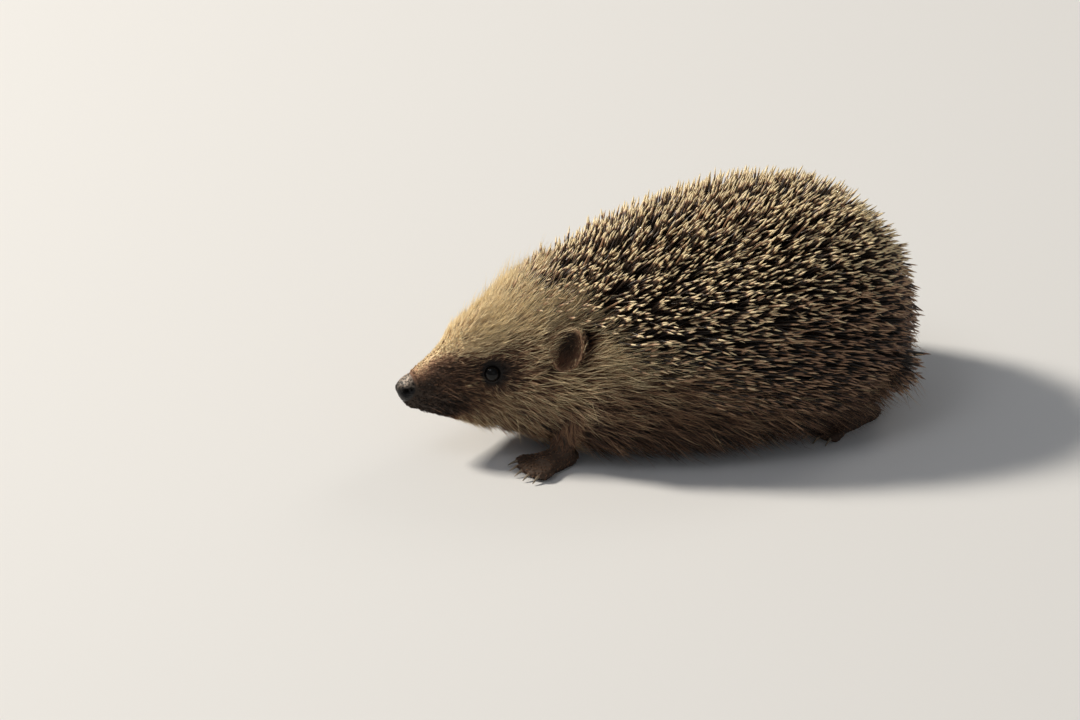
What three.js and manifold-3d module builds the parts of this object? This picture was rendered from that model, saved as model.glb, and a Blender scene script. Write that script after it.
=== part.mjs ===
// A European hedgehog, life size and still: it stands low on all four feet with its nose
// held near the floor. The solids follow the outer surface of the coat, out to the spine tips.
// Millimetres, +Z up. The nose points along -Y and the animal's left side is +X. The origin is
// on the floor, under the middle of the animal.
import * as THREE from "three";
import { mergeVertices } from "three/addons/utils/BufferGeometryUtils.js";
import Module from "manifold-3d";

const wasm = await Module();
wasm.setup();

// Driving sizes. Distances "behind" are measured from the nose tip towards the tail.
const LENGTH = 215; // nose tip to the last spines of the rump
const GAP = 0.3; // clearance between neighbouring pieces
const NOSE_LEVEL = 30.5; // height of the nose tip
const NOSE_END = 6; // how far back the bare nose pad reaches
const JAW_START = 8.5; // the chin sets in behind the overhanging nose
const JAW_END = 36; // corner of the jaw, behind the eye
const HEAD_END = 68; // cut between head and neck, behind the ears
const NECK_END = 86; // cut between neck and trunk, at the shoulders
const RUMP_START = 128; // the coat closes behind this
const SKIRT_LEVEL = 18; // cut between the spined back and the furred belly
const EYE = { radius: 3.35, behind: 34.5, out: 12.7, level: 36.6 };
const EAR = { behind: 59, out: 28, level: 49.5, height: 18, width: 12.5, depth: 8 };

const COLOURS = {
  spines: { color: 0x5a4a38, roughness: 0.55 },
  fur: { color: 0x6e5a45, roughness: 0.9 },
  face: { color: 0x4a3a2d, roughness: 0.9 },
  skin: { color: 0x54423a, roughness: 0.75 },
  nose: { color: 0x17130f, roughness: 0.35 },
  eye: { color: 0x050404, roughness: 0.05 },
  claw: { color: 0x8a7862, roughness: 0.4 },
};
const materials = {};
for (const [name, look] of Object.entries(COLOURS))
  materials[name] = new THREE.MeshStandardMaterial({ name, metalness: 0, ...look });

// ---------------------------------------------------------------- helpers

// A smooth curve through a few sizes, read by distance behind the nose.
function profile(table) {
  const curve = new THREE.CubicInterpolant(
    Object.keys(table).map(Number),
    Object.values(table),
    1,
  );
  return (behind) => curve.evaluate(behind)[0];
}

// A closed three.js geometry as a solid for joining and cutting.
function solid(geometry) {
  const bare = geometry.clone();
  bare.deleteAttribute("normal");
  bare.deleteAttribute("uv");
  const merged = mergeVertices(bare, 1e-4);
  const index = merged.index.array;
  const kept = [];
  for (let i = 0; i < index.length; i += 3) {
    const [a, b, c] = index.subarray(i, i + 3);
    if (a !== b && b !== c && a !== c) kept.push(a, b, c);
  }
  return new wasm.Manifold(
    new wasm.Mesh({
      numProp: 3,
      vertProperties: new Float32Array(merged.attributes.position.array),
      triVerts: new Uint32Array(kept),
    }),
  );
}

function geometryOf(made) {
  const mesh = made.getMesh();
  return new THREE.BufferGeometry()
    .setAttribute("position", new THREE.BufferAttribute(mesh.vertProperties, mesh.numProp))
    .setIndex(new THREE.BufferAttribute(mesh.triVerts, 1));
}

function joined(solids) {
  return solids.reduce((whole, piece) => whole.add(piece));
}

// A box between two corners.
function block(low, high) {
  const size = new THREE.Vector3().subVectors(high, low);
  const centre = new THREE.Vector3().addVectors(low, high).multiplyScalar(0.5);
  return solid(
    new THREE.BoxGeometry(size.x, size.y, size.z).translate(centre.x, centre.y, centre.z),
  );
}

// Everything between two distances behind the nose, and between two levels.
function slab(from, to, bottom = -20, top = 120) {
  return block(new THREE.Vector3(-90, from, bottom), new THREE.Vector3(90, to, top));
}

// A ball with its own radius along each axis, turned by Euler angles and set at a point.
function ellipsoid(radii, centre, turn = new THREE.Euler(), around = 16, rings = 12) {
  const place = new THREE.Matrix4().compose(
    centre,
    new THREE.Quaternion().setFromEuler(turn),
    radii,
  );
  return solid(new THREE.SphereGeometry(1, around, rings).applyMatrix4(place));
}

// A rod with round ends that tapers from one point to another.
function taper(from, radiusFrom, to, radiusTo, around = 10, capRings = 2) {
  const run = new THREE.Vector3().subVectors(to, from);
  const outline = [new THREE.Vector2(0, -radiusFrom)];
  for (let i = 1; i <= capRings; i++) {
    const a = -Math.PI / 2 + (i / capRings) * (Math.PI / 2);
    outline.push(new THREE.Vector2(radiusFrom * Math.cos(a), radiusFrom * Math.sin(a)));
  }
  for (let i = 0; i < capRings; i++) {
    const a = (i / capRings) * (Math.PI / 2);
    outline.push(
      new THREE.Vector2(radiusTo * Math.cos(a), run.length() + radiusTo * Math.sin(a)),
    );
  }
  outline.push(new THREE.Vector2(0, run.length() + radiusTo));
  const turn = new THREE.Quaternion().setFromUnitVectors(
    new THREE.Vector3(0, 1, 0),
    run.clone().normalize(),
  );
  const place = new THREE.Matrix4().compose(from, turn, new THREE.Vector3(1, 1, 1));
  return solid(new THREE.LatheGeometry(outline, around).applyMatrix4(place));
}

// ---------------------------------------------------------------- the coat's outer surface

const topOf = profile({
  0: 33.1, 3: 33.9, 6: 35.4, 9: 37.5, 13: 40.4, 17: 43.8, 20: 47.6, 24: 52.6, 30: 57, 41: 63.5,
  49: 68.5, 58: 71.5, 75: 77, 91: 82, 107: 86, 130: 89.5, 155: 91, 217: 89.5,
});
const lowOf = profile({
  0: 21.2, 6: 20.4, 12: 18, 22: 14, 35: 9.5, 46: 6.5, 60: 4, 75: 3.5, 217: 4,
});
const halfWidthOf = profile({
  0: 4.2, 6: 4.8, 12: 7.7, 22: 11.6, 31: 14.3, 37: 17, 45: 25, 58: 35, 72: 42.5, 90: 49,
  108: 53.5, 130: 55, 217: 54,
});
const widestLevel = profile({
  0: NOSE_LEVEL, 12: 29, 31: 27.5, 45: 24, 58: 20, 80: 18, 110: 17, 150: 20, 217: 30,
});
const upperFullness = profile({ 0: 2, 20: 1.85, 58: 1.95, 110: 2.15, 217: 2.15 });
const lowerFullness = profile({ 0: 2, 20: 2.1, 45: 2.6, 58: 3.2, 80: 3.8, 130: 3.8, 217: 2.6 });

// How a round end closes: 1 where it starts and 0 at the very end.
function closing(share, power) {
  return share <= 0 ? 1 : Math.pow(Math.max(0, 1 - Math.pow(share, power)), 1 / power);
}

// A cosine or sine raised for a fuller, squarer round, with its sign kept.
function full(value, fullness) {
  return Math.sign(value) * Math.pow(Math.abs(value), 2 / fullness);
}

// The point of the coat at a distance behind the nose and an angle round the body,
// 0 on the left side and a quarter turn on top.
function coatPoint(behind, angle) {
  const noseShare = (NOSE_END - behind) / NOSE_END;
  const rumpShare = (behind - RUMP_START) / (LENGTH - RUMP_START);
  const above = Math.sin(angle) >= 0;
  const fullness = above ? upperFullness(behind) : lowerFullness(behind);
  const level = widestLevel(behind);
  const height = above ? topOf(behind) - level : level - lowOf(behind);
  const wide = closing(noseShare, 2) * closing(rumpShare, 2.3);
  const high = closing(noseShare, above ? 2.1 : 1.35) * closing(rumpShare, above ? 2.4 : 2.8);
  return new THREE.Vector3(
    wide * halfWidthOf(behind) * full(Math.cos(angle), fullness),
    behind,
    level + high * height * full(Math.sin(angle), fullness),
  );
}

// The whole coat, from a sphere whose rings are spread along the body, closer at the head.
function wholeCoat() {
  const around = 28;
  const rings = 41;
  const sphere = new THREE.SphereGeometry(1, around, rings);
  const { uv, position } = sphere.attributes;
  for (let i = 0; i < position.count; i++) {
    const behind = (LENGTH * (1 - Math.cos(Math.PI * (1 - uv.getY(i)) ** 1.15))) / 2;
    const p = coatPoint(behind, 2 * Math.PI * uv.getX(i));
    position.setXYZ(i, p.x, p.y, p.z);
  }
  return solid(sphere);
}

// ---------------------------------------------------------------- feet and legs

const SIDES = { left: 1, right: -1 };

// Each foot: where its middle stands, how far it turns out, and its sizes. The left forefoot
// and the right hind foot reach forward, as in a slow step.
const FEET = {
  forefoot_left: { out: 26, behind: 54, turn: 12, length: 22, width: 13, toe: 5, claw: 4.2 },
  forefoot_right: { out: 25, behind: 76, turn: 10, length: 22, width: 13, toe: 5, claw: 4.2 },
  hindfoot_left: { out: 33, behind: 172, turn: 16, length: 32, width: 12.5, toe: 6, claw: 4.8 },
  hindfoot_right: { out: 33, behind: 146, turn: 14, length: 32, width: 12.5, toe: 6, claw: 4.8 },
};
const LEG_TOP = 26; // height at which a leg ends inside the body
const ANKLE_LEVEL = 9; // cut between leg and foot
const TOES = 5;
const CLAW_LIFT = 0.5; // a claw tip's clearance from the floor
// How far forward each toe reaches, from the inner toe to the outer one.
const TOE_REACH = [0.78, 0.95, 1, 0.93, 0.74];

// A toe runs from the pad's front edge: its root, tip and heading in the foot's own frame,
// where the heel-to-toe line is -Y.
function toeLine(foot, i) {
  const spread = (i - (TOES - 1) / 2) / ((TOES - 1) / 2);
  const heading = new THREE.Vector3(Math.sin(0.34 * spread), -Math.cos(0.34 * spread), 0);
  const root = new THREE.Vector3(0.36 * foot.width * spread, -0.16 * foot.length, 2.6);
  const reach = 0.34 * foot.length * TOE_REACH[i];
  const tip = root.clone().addScaledVector(heading, reach).setZ(1.9);
  return { root, tip, heading };
}

// From the foot's own frame to its place on the floor.
function placeOf(foot, side) {
  return new THREE.Matrix4()
    .makeTranslation(side * foot.out, foot.behind, 0)
    .multiply(new THREE.Matrix4().makeRotationZ(side * THREE.MathUtils.degToRad(foot.turn)));
}

function placed(point, foot, side) {
  return point.clone().applyMatrix4(placeOf(foot, side));
}

// Sole pad, heel and toes in one, cut level at the floor and at the ankle.
function footSolid(foot, side) {
  const turn = new THREE.Euler(0, 0, side * THREE.MathUtils.degToRad(foot.turn));
  const pad = ellipsoid(
    new THREE.Vector3(0.5 * foot.width, 0.34 * foot.length, 5),
    placed(new THREE.Vector3(0, -0.06 * foot.length, 1.8), foot, side),
    turn,
    10,
    6,
  );
  const heel = ellipsoid(
    new THREE.Vector3(0.36 * foot.width, 0.3 * foot.length, 4.6),
    placed(new THREE.Vector3(0, 0.22 * foot.length, 2), foot, side),
    turn,
    8,
    6,
  );
  const ankle = taper(
    placed(new THREE.Vector3(0, 0.18 * foot.length, 4), foot, side),
    0.34 * foot.width,
    placed(new THREE.Vector3(0, 0.2 * foot.length, 14), foot, side),
    0.36 * foot.width,
    10,
    1,
  );
  const toes = [];
  for (let i = 0; i < TOES; i++) {
    const { root, tip } = toeLine(foot, i);
    toes.push(taper(placed(root, foot, side), 2.3, placed(tip, foot, side), 1.75, 6));
  }
  const above = slab(-30, LENGTH + 30, 0, ANKLE_LEVEL - GAP / 2);
  return joined([pad, heel, ankle, ...toes]).intersect(above);
}

// A claw curves down from its toe and ends just over the floor.
function clawSolid(foot, side, i) {
  const { tip, heading } = toeLine(foot, i);
  const baseRadius = 0.85;
  const tipRadius = 0.26;
  const steps = 2;
  const cone = new THREE.CylinderGeometry(tipRadius, baseRadius, foot.claw, 5, steps);
  cone.translate(0, foot.claw / 2, 0);
  const { position } = cone.attributes;
  const drop = tip.z + 0.5 - tipRadius - CLAW_LIFT;
  for (let k = 0; k < position.count; k++) {
    const share = position.getY(k) / foot.claw;
    position.setZ(k, position.getZ(k) - drop * share * share);
  }
  const start = tip.clone().addScaledVector(heading, 1.75 + GAP);
  const angle = Math.atan2(heading.y, heading.x) - Math.PI / 2;
  cone.rotateZ(angle);
  cone.translate(start.x, start.y, tip.z + 0.5);
  cone.applyMatrix4(placeOf(foot, side));
  return solid(cone);
}

// The leg stands on its ankle and ends inside the body.
function legSolid(foot, side, grow = 0) {
  const ankle = placed(new THREE.Vector3(0, 0.2 * foot.length, ANKLE_LEVEL), foot, side);
  const top = ankle.clone().add(new THREE.Vector3(side * 2, 7, 0)).setZ(LEG_TOP);
  const rod = taper(ankle, 0.36 * foot.width + grow, top, 0.5 * foot.width + grow, 10);
  return rod.intersect(slab(-30, LENGTH + 30, ANKLE_LEVEL + GAP / 2 - grow));
}

// The room that a leg and its foot take out of the fur of the underside.
function limbPocket(foot, side) {
  const height = ANKLE_LEVEL + 1;
  const room = new THREE.CylinderGeometry(1, 1, height, 10);
  room.rotateX(Math.PI / 2);
  room.scale(foot.width / 2 + 3, foot.length / 2 + 4, 1);
  room.translate(0, 0, height / 2 - 0.5);
  room.applyMatrix4(placeOf(foot, side));
  return solid(room).add(legSolid(foot, side, GAP));
}

// ---------------------------------------------------------------- head pieces

// One eye, or with grow its socket.
function eyeSolid(side, grow = 0) {
  return ellipsoid(
    new THREE.Vector3(1, 1, 1).multiplyScalar(EYE.radius + grow),
    new THREE.Vector3(side * EYE.out, EYE.behind, EYE.level),
    new THREE.Euler(),
    14,
    8,
  );
}

// The ear is an upright oval that leans back, its hollow open to the front and the side.
function earTurn(side) {
  return new THREE.Euler(-0.25, 0.1 * side, 0.5 * side, "ZYX");
}

function earOuter(side, grow = 0) {
  return ellipsoid(
    new THREE.Vector3(EAR.width / 2 + grow, EAR.depth / 2 + grow, EAR.height / 2 + grow),
    new THREE.Vector3(side * EAR.out, EAR.behind, EAR.level),
    earTurn(side),
    12,
    8,
  );
}

function earSolid(side) {
  const forward = new THREE.Vector3(side * 0.35, -1, 0.12).normalize();
  const hollow = ellipsoid(
    new THREE.Vector3(EAR.width / 2 - 1.4, EAR.depth / 2, EAR.height / 2 - 1.6),
    new THREE.Vector3(side * EAR.out, EAR.behind, EAR.level).addScaledVector(forward, 2.6),
    earTurn(side),
    12,
    8,
  );
  return earOuter(side).subtract(hollow);
}

// The bare nose pad with its two nostrils, open to the side.
function noseSolid(coat) {
  const pad = coat.intersect(slab(-5, NOSE_END - GAP / 2));
  const nostrils = Object.values(SIDES).map((side) =>
    ellipsoid(
      new THREE.Vector3(1.5, 1, 0.8),
      new THREE.Vector3(side * 3.4, 2, NOSE_LEVEL - 0.4),
      new THREE.Euler(0, 0, side * 0.5),
      8,
      6,
    ),
  );
  return pad.subtract(joined(nostrils));
}

// The region of the lower jaw, a wedge under the mouth line.
function jawRegion(grow = 0) {
  const mouthFront = new THREE.Vector2(JAW_START - grow, 22.4 + grow);
  const mouthCorner = new THREE.Vector2(JAW_END + grow, 18 + grow);
  const outline = new THREE.Shape([
    mouthFront,
    new THREE.Vector2(JAW_START - grow, 0),
    new THREE.Vector2(JAW_END + grow, 0),
    mouthCorner,
  ]);
  const halfWidth = 40;
  const toBody = new THREE.Matrix4().makeBasis(
    new THREE.Vector3(0, 1, 0),
    new THREE.Vector3(0, 0, 1),
    new THREE.Vector3(1, 0, 0),
  );
  return solid(
    new THREE.ExtrudeGeometry(outline, { depth: 2 * halfWidth, bevelEnabled: false })
      .translate(0, 0, -halfWidth)
      .applyMatrix4(toBody),
  );
}

// ---------------------------------------------------------------- the animal

const group = new THREE.Group();
group.position.y = -LENGTH / 2;

function add(name, made, material) {
  const mesh = new THREE.Mesh(geometryOf(made), materials[material]);
  mesh.name = name;
  group.add(mesh);
}

const coat = wholeCoat();
const sides = Object.entries(SIDES);
const feet = Object.entries(FEET).map(([name, foot]) => ({
  name,
  foot,
  side: SIDES[name.split("_")[1]],
}));

const eyeSockets = joined(sides.map(([, side]) => eyeSolid(side, GAP)));
const earPockets = joined(sides.map(([, side]) => earOuter(side, GAP)));
const limbPockets = joined(feet.map(({ foot, side }) => limbPocket(foot, side)));

const front = coat.intersect(slab(NOSE_END + GAP / 2, HEAD_END - GAP / 2));
const neck = coat.intersect(slab(HEAD_END + GAP / 2, NECK_END - GAP / 2));
const trunk = coat.intersect(slab(NECK_END + GAP / 2, LENGTH + 10));

// The tail is short and thin, and points back and down under the last spines.
const tailRoot = new THREE.Vector3(0, LENGTH - 22, 20);
const tailTip = new THREE.Vector3(0, LENGTH - 6, 12);
const tail = taper(tailRoot, 3.2, tailTip, 1.2, 10);
const tailPocket = taper(tailRoot, 3.2 + GAP, tailTip, 1.2 + GAP, 10);

const trunkHollows = joined([limbPockets, tailPocket]);
add("nose", noseSolid(coat), "nose");
add("head", front.subtract(joined([jawRegion(GAP), eyeSockets, earPockets, limbPockets])), "face");
add("jaw", front.intersect(jawRegion()), "face");
add("neck", neck.subtract(joined([limbPockets, earPockets])), "fur");
add("back", trunk.intersect(slab(0, LENGTH + 10, SKIRT_LEVEL + GAP / 2)).subtract(trunkHollows), "spines");
add("belly", trunk.intersect(slab(0, LENGTH + 10, -20, SKIRT_LEVEL - GAP / 2)).subtract(trunkHollows), "fur");
add("tail", tail, "skin");
for (const [name, side] of sides) {
  add(`eye_${name}`, eyeSolid(side), "eye");
  add(`ear_${name}`, earSolid(side), "skin");
}
for (const { name, foot, side } of feet) {
  add(name.replace("foot", "leg"), legSolid(foot, side), "fur");
  add(name, footSolid(foot, side), "skin");
  for (let i = 0; i < TOES; i++) add(`${name}_claw_${i + 1}`, clawSolid(foot, side, i), "claw");
}

export default group;
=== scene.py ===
# %% [markdown]
# # A European hedgehog
#
# This lesson dresses a measured solid of a hedgehog. The solid follows the outside of the coat,
# out to the tips of the spines. Here it gets a skin that lies deeper by the coat's own depth,
# and then thousands of spines and tufts of fur that rise from the skin and fill the room between.
# The nose points along -Y, the animal's left side is +X, and the floor is at height 0.

import math

import bmesh
import bpy
import numpy as np
from mathutils import Matrix, Vector
from mathutils.kdtree import KDTree


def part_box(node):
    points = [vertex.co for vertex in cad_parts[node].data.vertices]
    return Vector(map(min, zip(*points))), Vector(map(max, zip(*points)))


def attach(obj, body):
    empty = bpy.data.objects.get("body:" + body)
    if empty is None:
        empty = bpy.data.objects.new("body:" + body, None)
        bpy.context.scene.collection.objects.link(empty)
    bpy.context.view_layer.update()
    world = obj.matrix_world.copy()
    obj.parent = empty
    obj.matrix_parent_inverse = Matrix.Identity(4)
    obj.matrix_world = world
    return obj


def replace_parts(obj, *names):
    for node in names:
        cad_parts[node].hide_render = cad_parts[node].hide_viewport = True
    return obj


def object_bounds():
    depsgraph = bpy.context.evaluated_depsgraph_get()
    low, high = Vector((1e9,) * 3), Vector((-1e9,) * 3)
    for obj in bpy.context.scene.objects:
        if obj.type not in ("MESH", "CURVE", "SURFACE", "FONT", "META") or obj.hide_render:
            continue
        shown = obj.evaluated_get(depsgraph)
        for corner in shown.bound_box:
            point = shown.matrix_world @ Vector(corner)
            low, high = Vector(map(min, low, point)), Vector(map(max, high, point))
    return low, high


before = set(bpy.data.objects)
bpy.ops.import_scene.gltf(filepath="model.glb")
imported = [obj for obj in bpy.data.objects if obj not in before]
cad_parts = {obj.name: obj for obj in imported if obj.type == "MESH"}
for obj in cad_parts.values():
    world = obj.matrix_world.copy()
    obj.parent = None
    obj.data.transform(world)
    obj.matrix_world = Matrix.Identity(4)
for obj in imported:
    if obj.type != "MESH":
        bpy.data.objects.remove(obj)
cad_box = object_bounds()
MM = 0.001
box_low, box_high = np.array(cad_box[0]), np.array(cad_box[1])
nose_y = box_low[1]
body_length = (box_high[1] - box_low[1]) / MM
print(f"coat {body_length:.0f} mm long, {box_high[2] / MM:.0f} mm high")

# %% [markdown]
# ## Camera and light
#
# A long lens from a metre and a half away keeps the head and the rump at nearly one scale, as
# an animal is usually portrayed. The camera could be aimed at the middle of the body, but the
# portrait leaves more room in front of the nose, so the aim is a named distance from the nose.
#
# One warm lamp does most of the work and casts the one shadow. The others could be as strong, but
# then the fur would look flat, so they only lift the dark side. The world adds a little sky.

# %% Camera
AZIMUTH = math.radians(70)
ELEVATION = math.radians(27)
DISTANCE = 1.6
FRAME_WIDTH = 0.405
SENSOR = 36
AIM_FROM_NOSE = Vector((0.0143, 0.0529, 0.0092))

nose_tip = Vector((0, nose_y, 0.0305))
aim = nose_tip + AIM_FROM_NOSE
towards_camera = Vector(
    (
        math.sin(AZIMUTH) * math.cos(ELEVATION),
        -math.cos(AZIMUTH) * math.cos(ELEVATION),
        math.sin(ELEVATION),
    )
)
camera = bpy.data.objects.new("camera", bpy.data.cameras.new("camera"))
camera.location = aim + DISTANCE * towards_camera
camera.rotation_euler = towards_camera.to_track_quat("Z", "Y").to_euler()
camera.data.sensor_width = SENSOR
camera.data.lens = SENSOR * DISTANCE / FRAME_WIDTH
bpy.context.scene.collection.objects.link(camera)
bpy.context.scene.camera = camera
print(f"lens {camera.data.lens:.0f} mm")


# %% Lamps, world and floor
LAMP_AIM = Vector((0, 0, 0.04))
SKY = (0.9, 0.94, 1, 1)
SKY_STRENGTH = 0.17


def lamp(name, place, size, power, colour=(1, 1, 1)):
    """A square soft lamp that looks at the middle of the animal."""
    data = bpy.data.lights.new(name, "AREA")
    data.size = size
    data.energy = power
    data.color = colour
    made = bpy.data.objects.new(name, data)
    made.location = place
    made.rotation_euler = (Vector(place) - LAMP_AIM).to_track_quat("Z", "Y").to_euler()
    bpy.context.scene.collection.objects.link(made)


lamp("key_lamp", (-1.65, -2.4, 2.4), 0.6, 160, (1, 0.93, 0.82))
lamp("top_lamp", (0.3, -1.6, 2.7), 1.1, 8, (0.95, 0.97, 1))
lamp("fill_lamp", (3.2, -0.2, 1.8), 2.4, 4)
lamp("back_lamp", (-1.2, 2.6, 2.2), 1.2, 12, (1, 0.95, 0.88))

scene = bpy.context.scene
scene.view_settings.view_transform = "Standard"
world = bpy.data.worlds.new("studio")
world.use_nodes = True
world.node_tree.nodes["Background"].inputs["Color"].default_value = SKY
world.node_tree.nodes["Background"].inputs["Strength"].default_value = SKY_STRENGTH
scene.world = world

FLOOR_HALF = 3.0
floor_bm = bmesh.new()
bmesh.ops.create_grid(floor_bm, x_segments=1, y_segments=1, size=FLOOR_HALF)
floor_mesh = bpy.data.meshes.new("floor")
floor_bm.to_mesh(floor_mesh)
floor_bm.free()
floor = bpy.data.objects.new("floor", floor_mesh)
scene.collection.objects.link(floor)
floor_look = bpy.data.materials.new("pale_floor")
floor_look.use_nodes = True
floor_shader = floor_look.node_tree.nodes["Principled BSDF"]
floor_shader.inputs["Base Color"].default_value = (0.78, 0.78, 0.78, 1)
floor_shader.inputs["Roughness"].default_value = 0.9
floor_mesh.materials.append(floor_look)

# %% [markdown]
# ## The skin
#
# Under the coat the animal is slimmer than it looks. A skin could be sculpted by hand, or the
# measured solids could be shrunk, but their thin cuts and hollows would shrink badly. Here the
# outline of the coat is measured at many stations along the body, the coat's depth is taken off,
# and a ball is stretched over the smaller outline. Legs, feet and tail are copies of their
# solids. A voxel remesh then melts everything into one closed surface.

# %% Measure the coat along the body
BODY_NODES = ["nose", "head", "jaw", "neck", "back", "belly"]
coat_bm = bmesh.new()
for name in BODY_NODES:
    coat_bm.from_mesh(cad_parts[name].data)
bmesh.ops.remove_doubles(coat_bm, verts=coat_bm.verts, dist=1e-6)
coat_points = np.array([v.co for v in coat_bm.verts])
coat_edges = np.array([[v.index for v in e.verts] for e in coat_bm.edges])
coat_bm.free()


def section(y):
    """Top, bottom, half width and level of the widest place where a plane cuts the coat."""
    start = coat_points[coat_edges[:, 0]]
    end = coat_points[coat_edges[:, 1]]
    crossing = (start[:, 1] - y) * (end[:, 1] - y) < 0
    start, end = start[crossing], end[crossing]
    if len(start) < 8:
        return None
    share = (y - start[:, 1]) / (end[:, 1] - start[:, 1])
    cut = start + share[:, None] * (end - start)
    widest = np.argmax(np.abs(cut[:, 0]))
    return cut[:, 2].max(), cut[:, 2].min(), abs(cut[widest, 0]), cut[widest, 2]


STATION_STEP = 1.0
stations, measured = [], []
for behind in np.arange(0.25, body_length, STATION_STEP):
    found = section(nose_y + behind * MM)
    if found:
        stations.append(behind)
        measured.append(np.array(found) / MM)
stations, measured = np.array(stations), np.array(measured)
print(f"{len(stations)} stations, widest {measured[:, 2].max():.1f} mm either side")


# %% The coat's depth, in millimetres, by distance behind the nose
def profile(table):
    """A function that reads a small table of sizes, with smooth steps between its entries."""
    xs, ys = np.array(list(table.keys()), float), np.array(list(table.values()), float)
    slopes = np.gradient(ys, xs)

    def read(x):
        x = np.clip(x, xs[0], xs[-1])
        i = np.clip(np.searchsorted(xs, x) - 1, 0, len(xs) - 2)
        h = xs[i + 1] - xs[i]
        t = (x - xs[i]) / h
        rise = ys[i + 1] - ys[i]
        m0 = np.where(rise == 0, 0, slopes[i]) * h
        m1 = np.where(rise == 0, 0, slopes[i + 1]) * h
        return (
            (2 * t**3 - 3 * t**2 + 1) * ys[i]
            + (t**3 - 2 * t**2 + t) * m0
            + (3 * t**2 - 2 * t**3) * ys[i + 1]
            + (t**3 - t**2) * m1
        )

    return read


def ramp(x, start, end):
    """0 before start, 1 after end, and a smooth step between."""
    t = np.clip((x - start) / (end - start), 0, 1)
    return t * t * (3 - 2 * t)


top_depth = profile(
    {
        0: 0,
        7: 0.2,
        14: 0.8,
        20: 2.2,
        30: 3.6,
        45: 5.5,
        58: 8.5,
        75: 11.5,
        100: 13,
        150: 12.6,
        178: 10,
        200: 9,
        215: 11,
    }
)
side_depth = profile({0: 0, 7: 0.2, 15: 0.6, 30: 1, 37: 1.6, 45: 4, 58: 7, 75: 8.4, 215: 9.4})
low_depth = profile({0: 0, 7: 0.4, 15: 1, 30: 2, 45: 4.2, 60: 6.2, 215: 7.5})
RUMP_DEPTH = 11
upper_full = profile({0: 2, 20: 1.9, 60: 2, 110: 2.1, 215: 2.1})
lower_full = profile({0: 2, 45: 2.2, 80: 2.7, 150: 2.7, 215: 2.3})


def full(value, fullness):
    """A sine or cosine raised for a fuller round, with its sign kept."""
    return np.sign(value) * np.abs(value) ** (2 / fullness)


def skin_point(behind, angle):
    """Places of the skin in mm (side, behind, height), angle 0 at the left side, up positive."""
    top, low, half, level = (np.interp(behind, stations, column) for column in measured.T)
    above = np.sin(angle) >= 0
    fullness = np.where(above, upper_full(behind), lower_full(behind))
    height = np.where(above, top - level - top_depth(behind), level - low - low_depth(behind))
    wide = np.maximum(half - side_depth(behind), 0)
    high = np.maximum(height, 0)
    shift = RUMP_DEPTH * ramp(behind, 120, body_length)
    return np.stack(
        [
            wide * full(np.cos(angle), fullness),
            behind - shift,
            level + high * full(np.sin(angle), fullness),
        ],
        axis=-1,
    )


# %% Stretch a ball over the stations
AROUND = 96
ALONG = 150
skin_bm = bmesh.new()
bmesh.ops.create_uvsphere(skin_bm, u_segments=AROUND, v_segments=ALONG, radius=1)
for v in skin_bm.verts:
    polar = math.acos(max(-1, min(1, v.co.z))) / math.pi
    behind = body_length * (1 - math.cos(math.pi * polar**1.12)) / 2
    p = skin_point(behind, math.atan2(v.co.y, v.co.x)) * MM
    v.co = (p[0], nose_y + p[1], p[2])
bmesh.ops.recalc_face_normals(skin_bm, faces=skin_bm.faces)

# %% Add copies of the legs, feet and tail, and a toe behind each claw
LIMBS = [
    f"{part}_{side}" for part in ("foreleg", "forefoot", "hindleg", "hindfoot") for side in ("left", "right")
]
SOLE_INSET, SOLE_ROUND = 1.5 * MM, 3.2 * MM
for name in LIMBS + ["tail"]:
    known = len(skin_bm.verts)
    skin_bm.from_mesh(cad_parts[name].data)
    if "foot" not in name:
        continue
    skin_bm.verts.ensure_lookup_table()
    middle = sum((Vector(corner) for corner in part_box(name)), Vector()) / 2
    for v in skin_bm.verts[known:]:
        inward = Vector((middle.x - v.co.x, middle.y - v.co.y, 0))
        share = max(0, 1 - v.co.z / SOLE_ROUND) ** 2
        v.co += inward.normalized() * min(SOLE_INSET * share, inward.length)

TOE_HALF_LENGTH, TOE_RADIUS, TOE_SETBACK = 4.4 * MM, 1.95 * MM, 2.6 * MM
CLAWS = [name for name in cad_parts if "_claw_" in name]
for name in CLAWS:
    points = np.array([v.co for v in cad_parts[name].data.vertices])
    order = np.argsort(points[:, 1])
    tip, base = points[order[:12]].mean(axis=0), points[order[-12:]].mean(axis=0)
    heading = Vector((tip[0] - base[0], tip[1] - base[1], 0)).normalized()
    middle = Vector(base) - heading * TOE_SETBACK + Vector((0, 0, 0.1 * MM))
    toe = bmesh.ops.create_uvsphere(skin_bm, u_segments=16, v_segments=12, radius=1)["verts"]
    bmesh.ops.scale(skin_bm, vec=(TOE_RADIUS, TOE_RADIUS, TOE_HALF_LENGTH), verts=toe)
    turn = heading.to_track_quat("Z", "Y").to_matrix()
    bmesh.ops.rotate(skin_bm, matrix=turn, verts=toe)
    bmesh.ops.translate(skin_bm, vec=middle, verts=toe)
bmesh.ops.remove_doubles(skin_bm, verts=skin_bm.verts, dist=1e-7)
skin_mesh = bpy.data.meshes.new("skin")
skin_bm.to_mesh(skin_mesh)
skin_bm.free()
skin = bpy.data.objects.new("skin", skin_mesh)
scene.collection.objects.link(skin)


# %% Melt them into one surface
def applied(piece, *modifiers):
    """Adds modifiers given as (type, settings), and puts their result into the mesh."""
    for kind, settings in modifiers:
        modifier = piece.modifiers.new(kind.lower(), kind)
        for key, value in settings.items():
            setattr(modifier, key, value)
    evaluated = piece.evaluated_get(bpy.context.evaluated_depsgraph_get())
    made = bpy.data.meshes.new_from_object(evaluated)
    piece.modifiers.clear()
    piece.data = made


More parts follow.
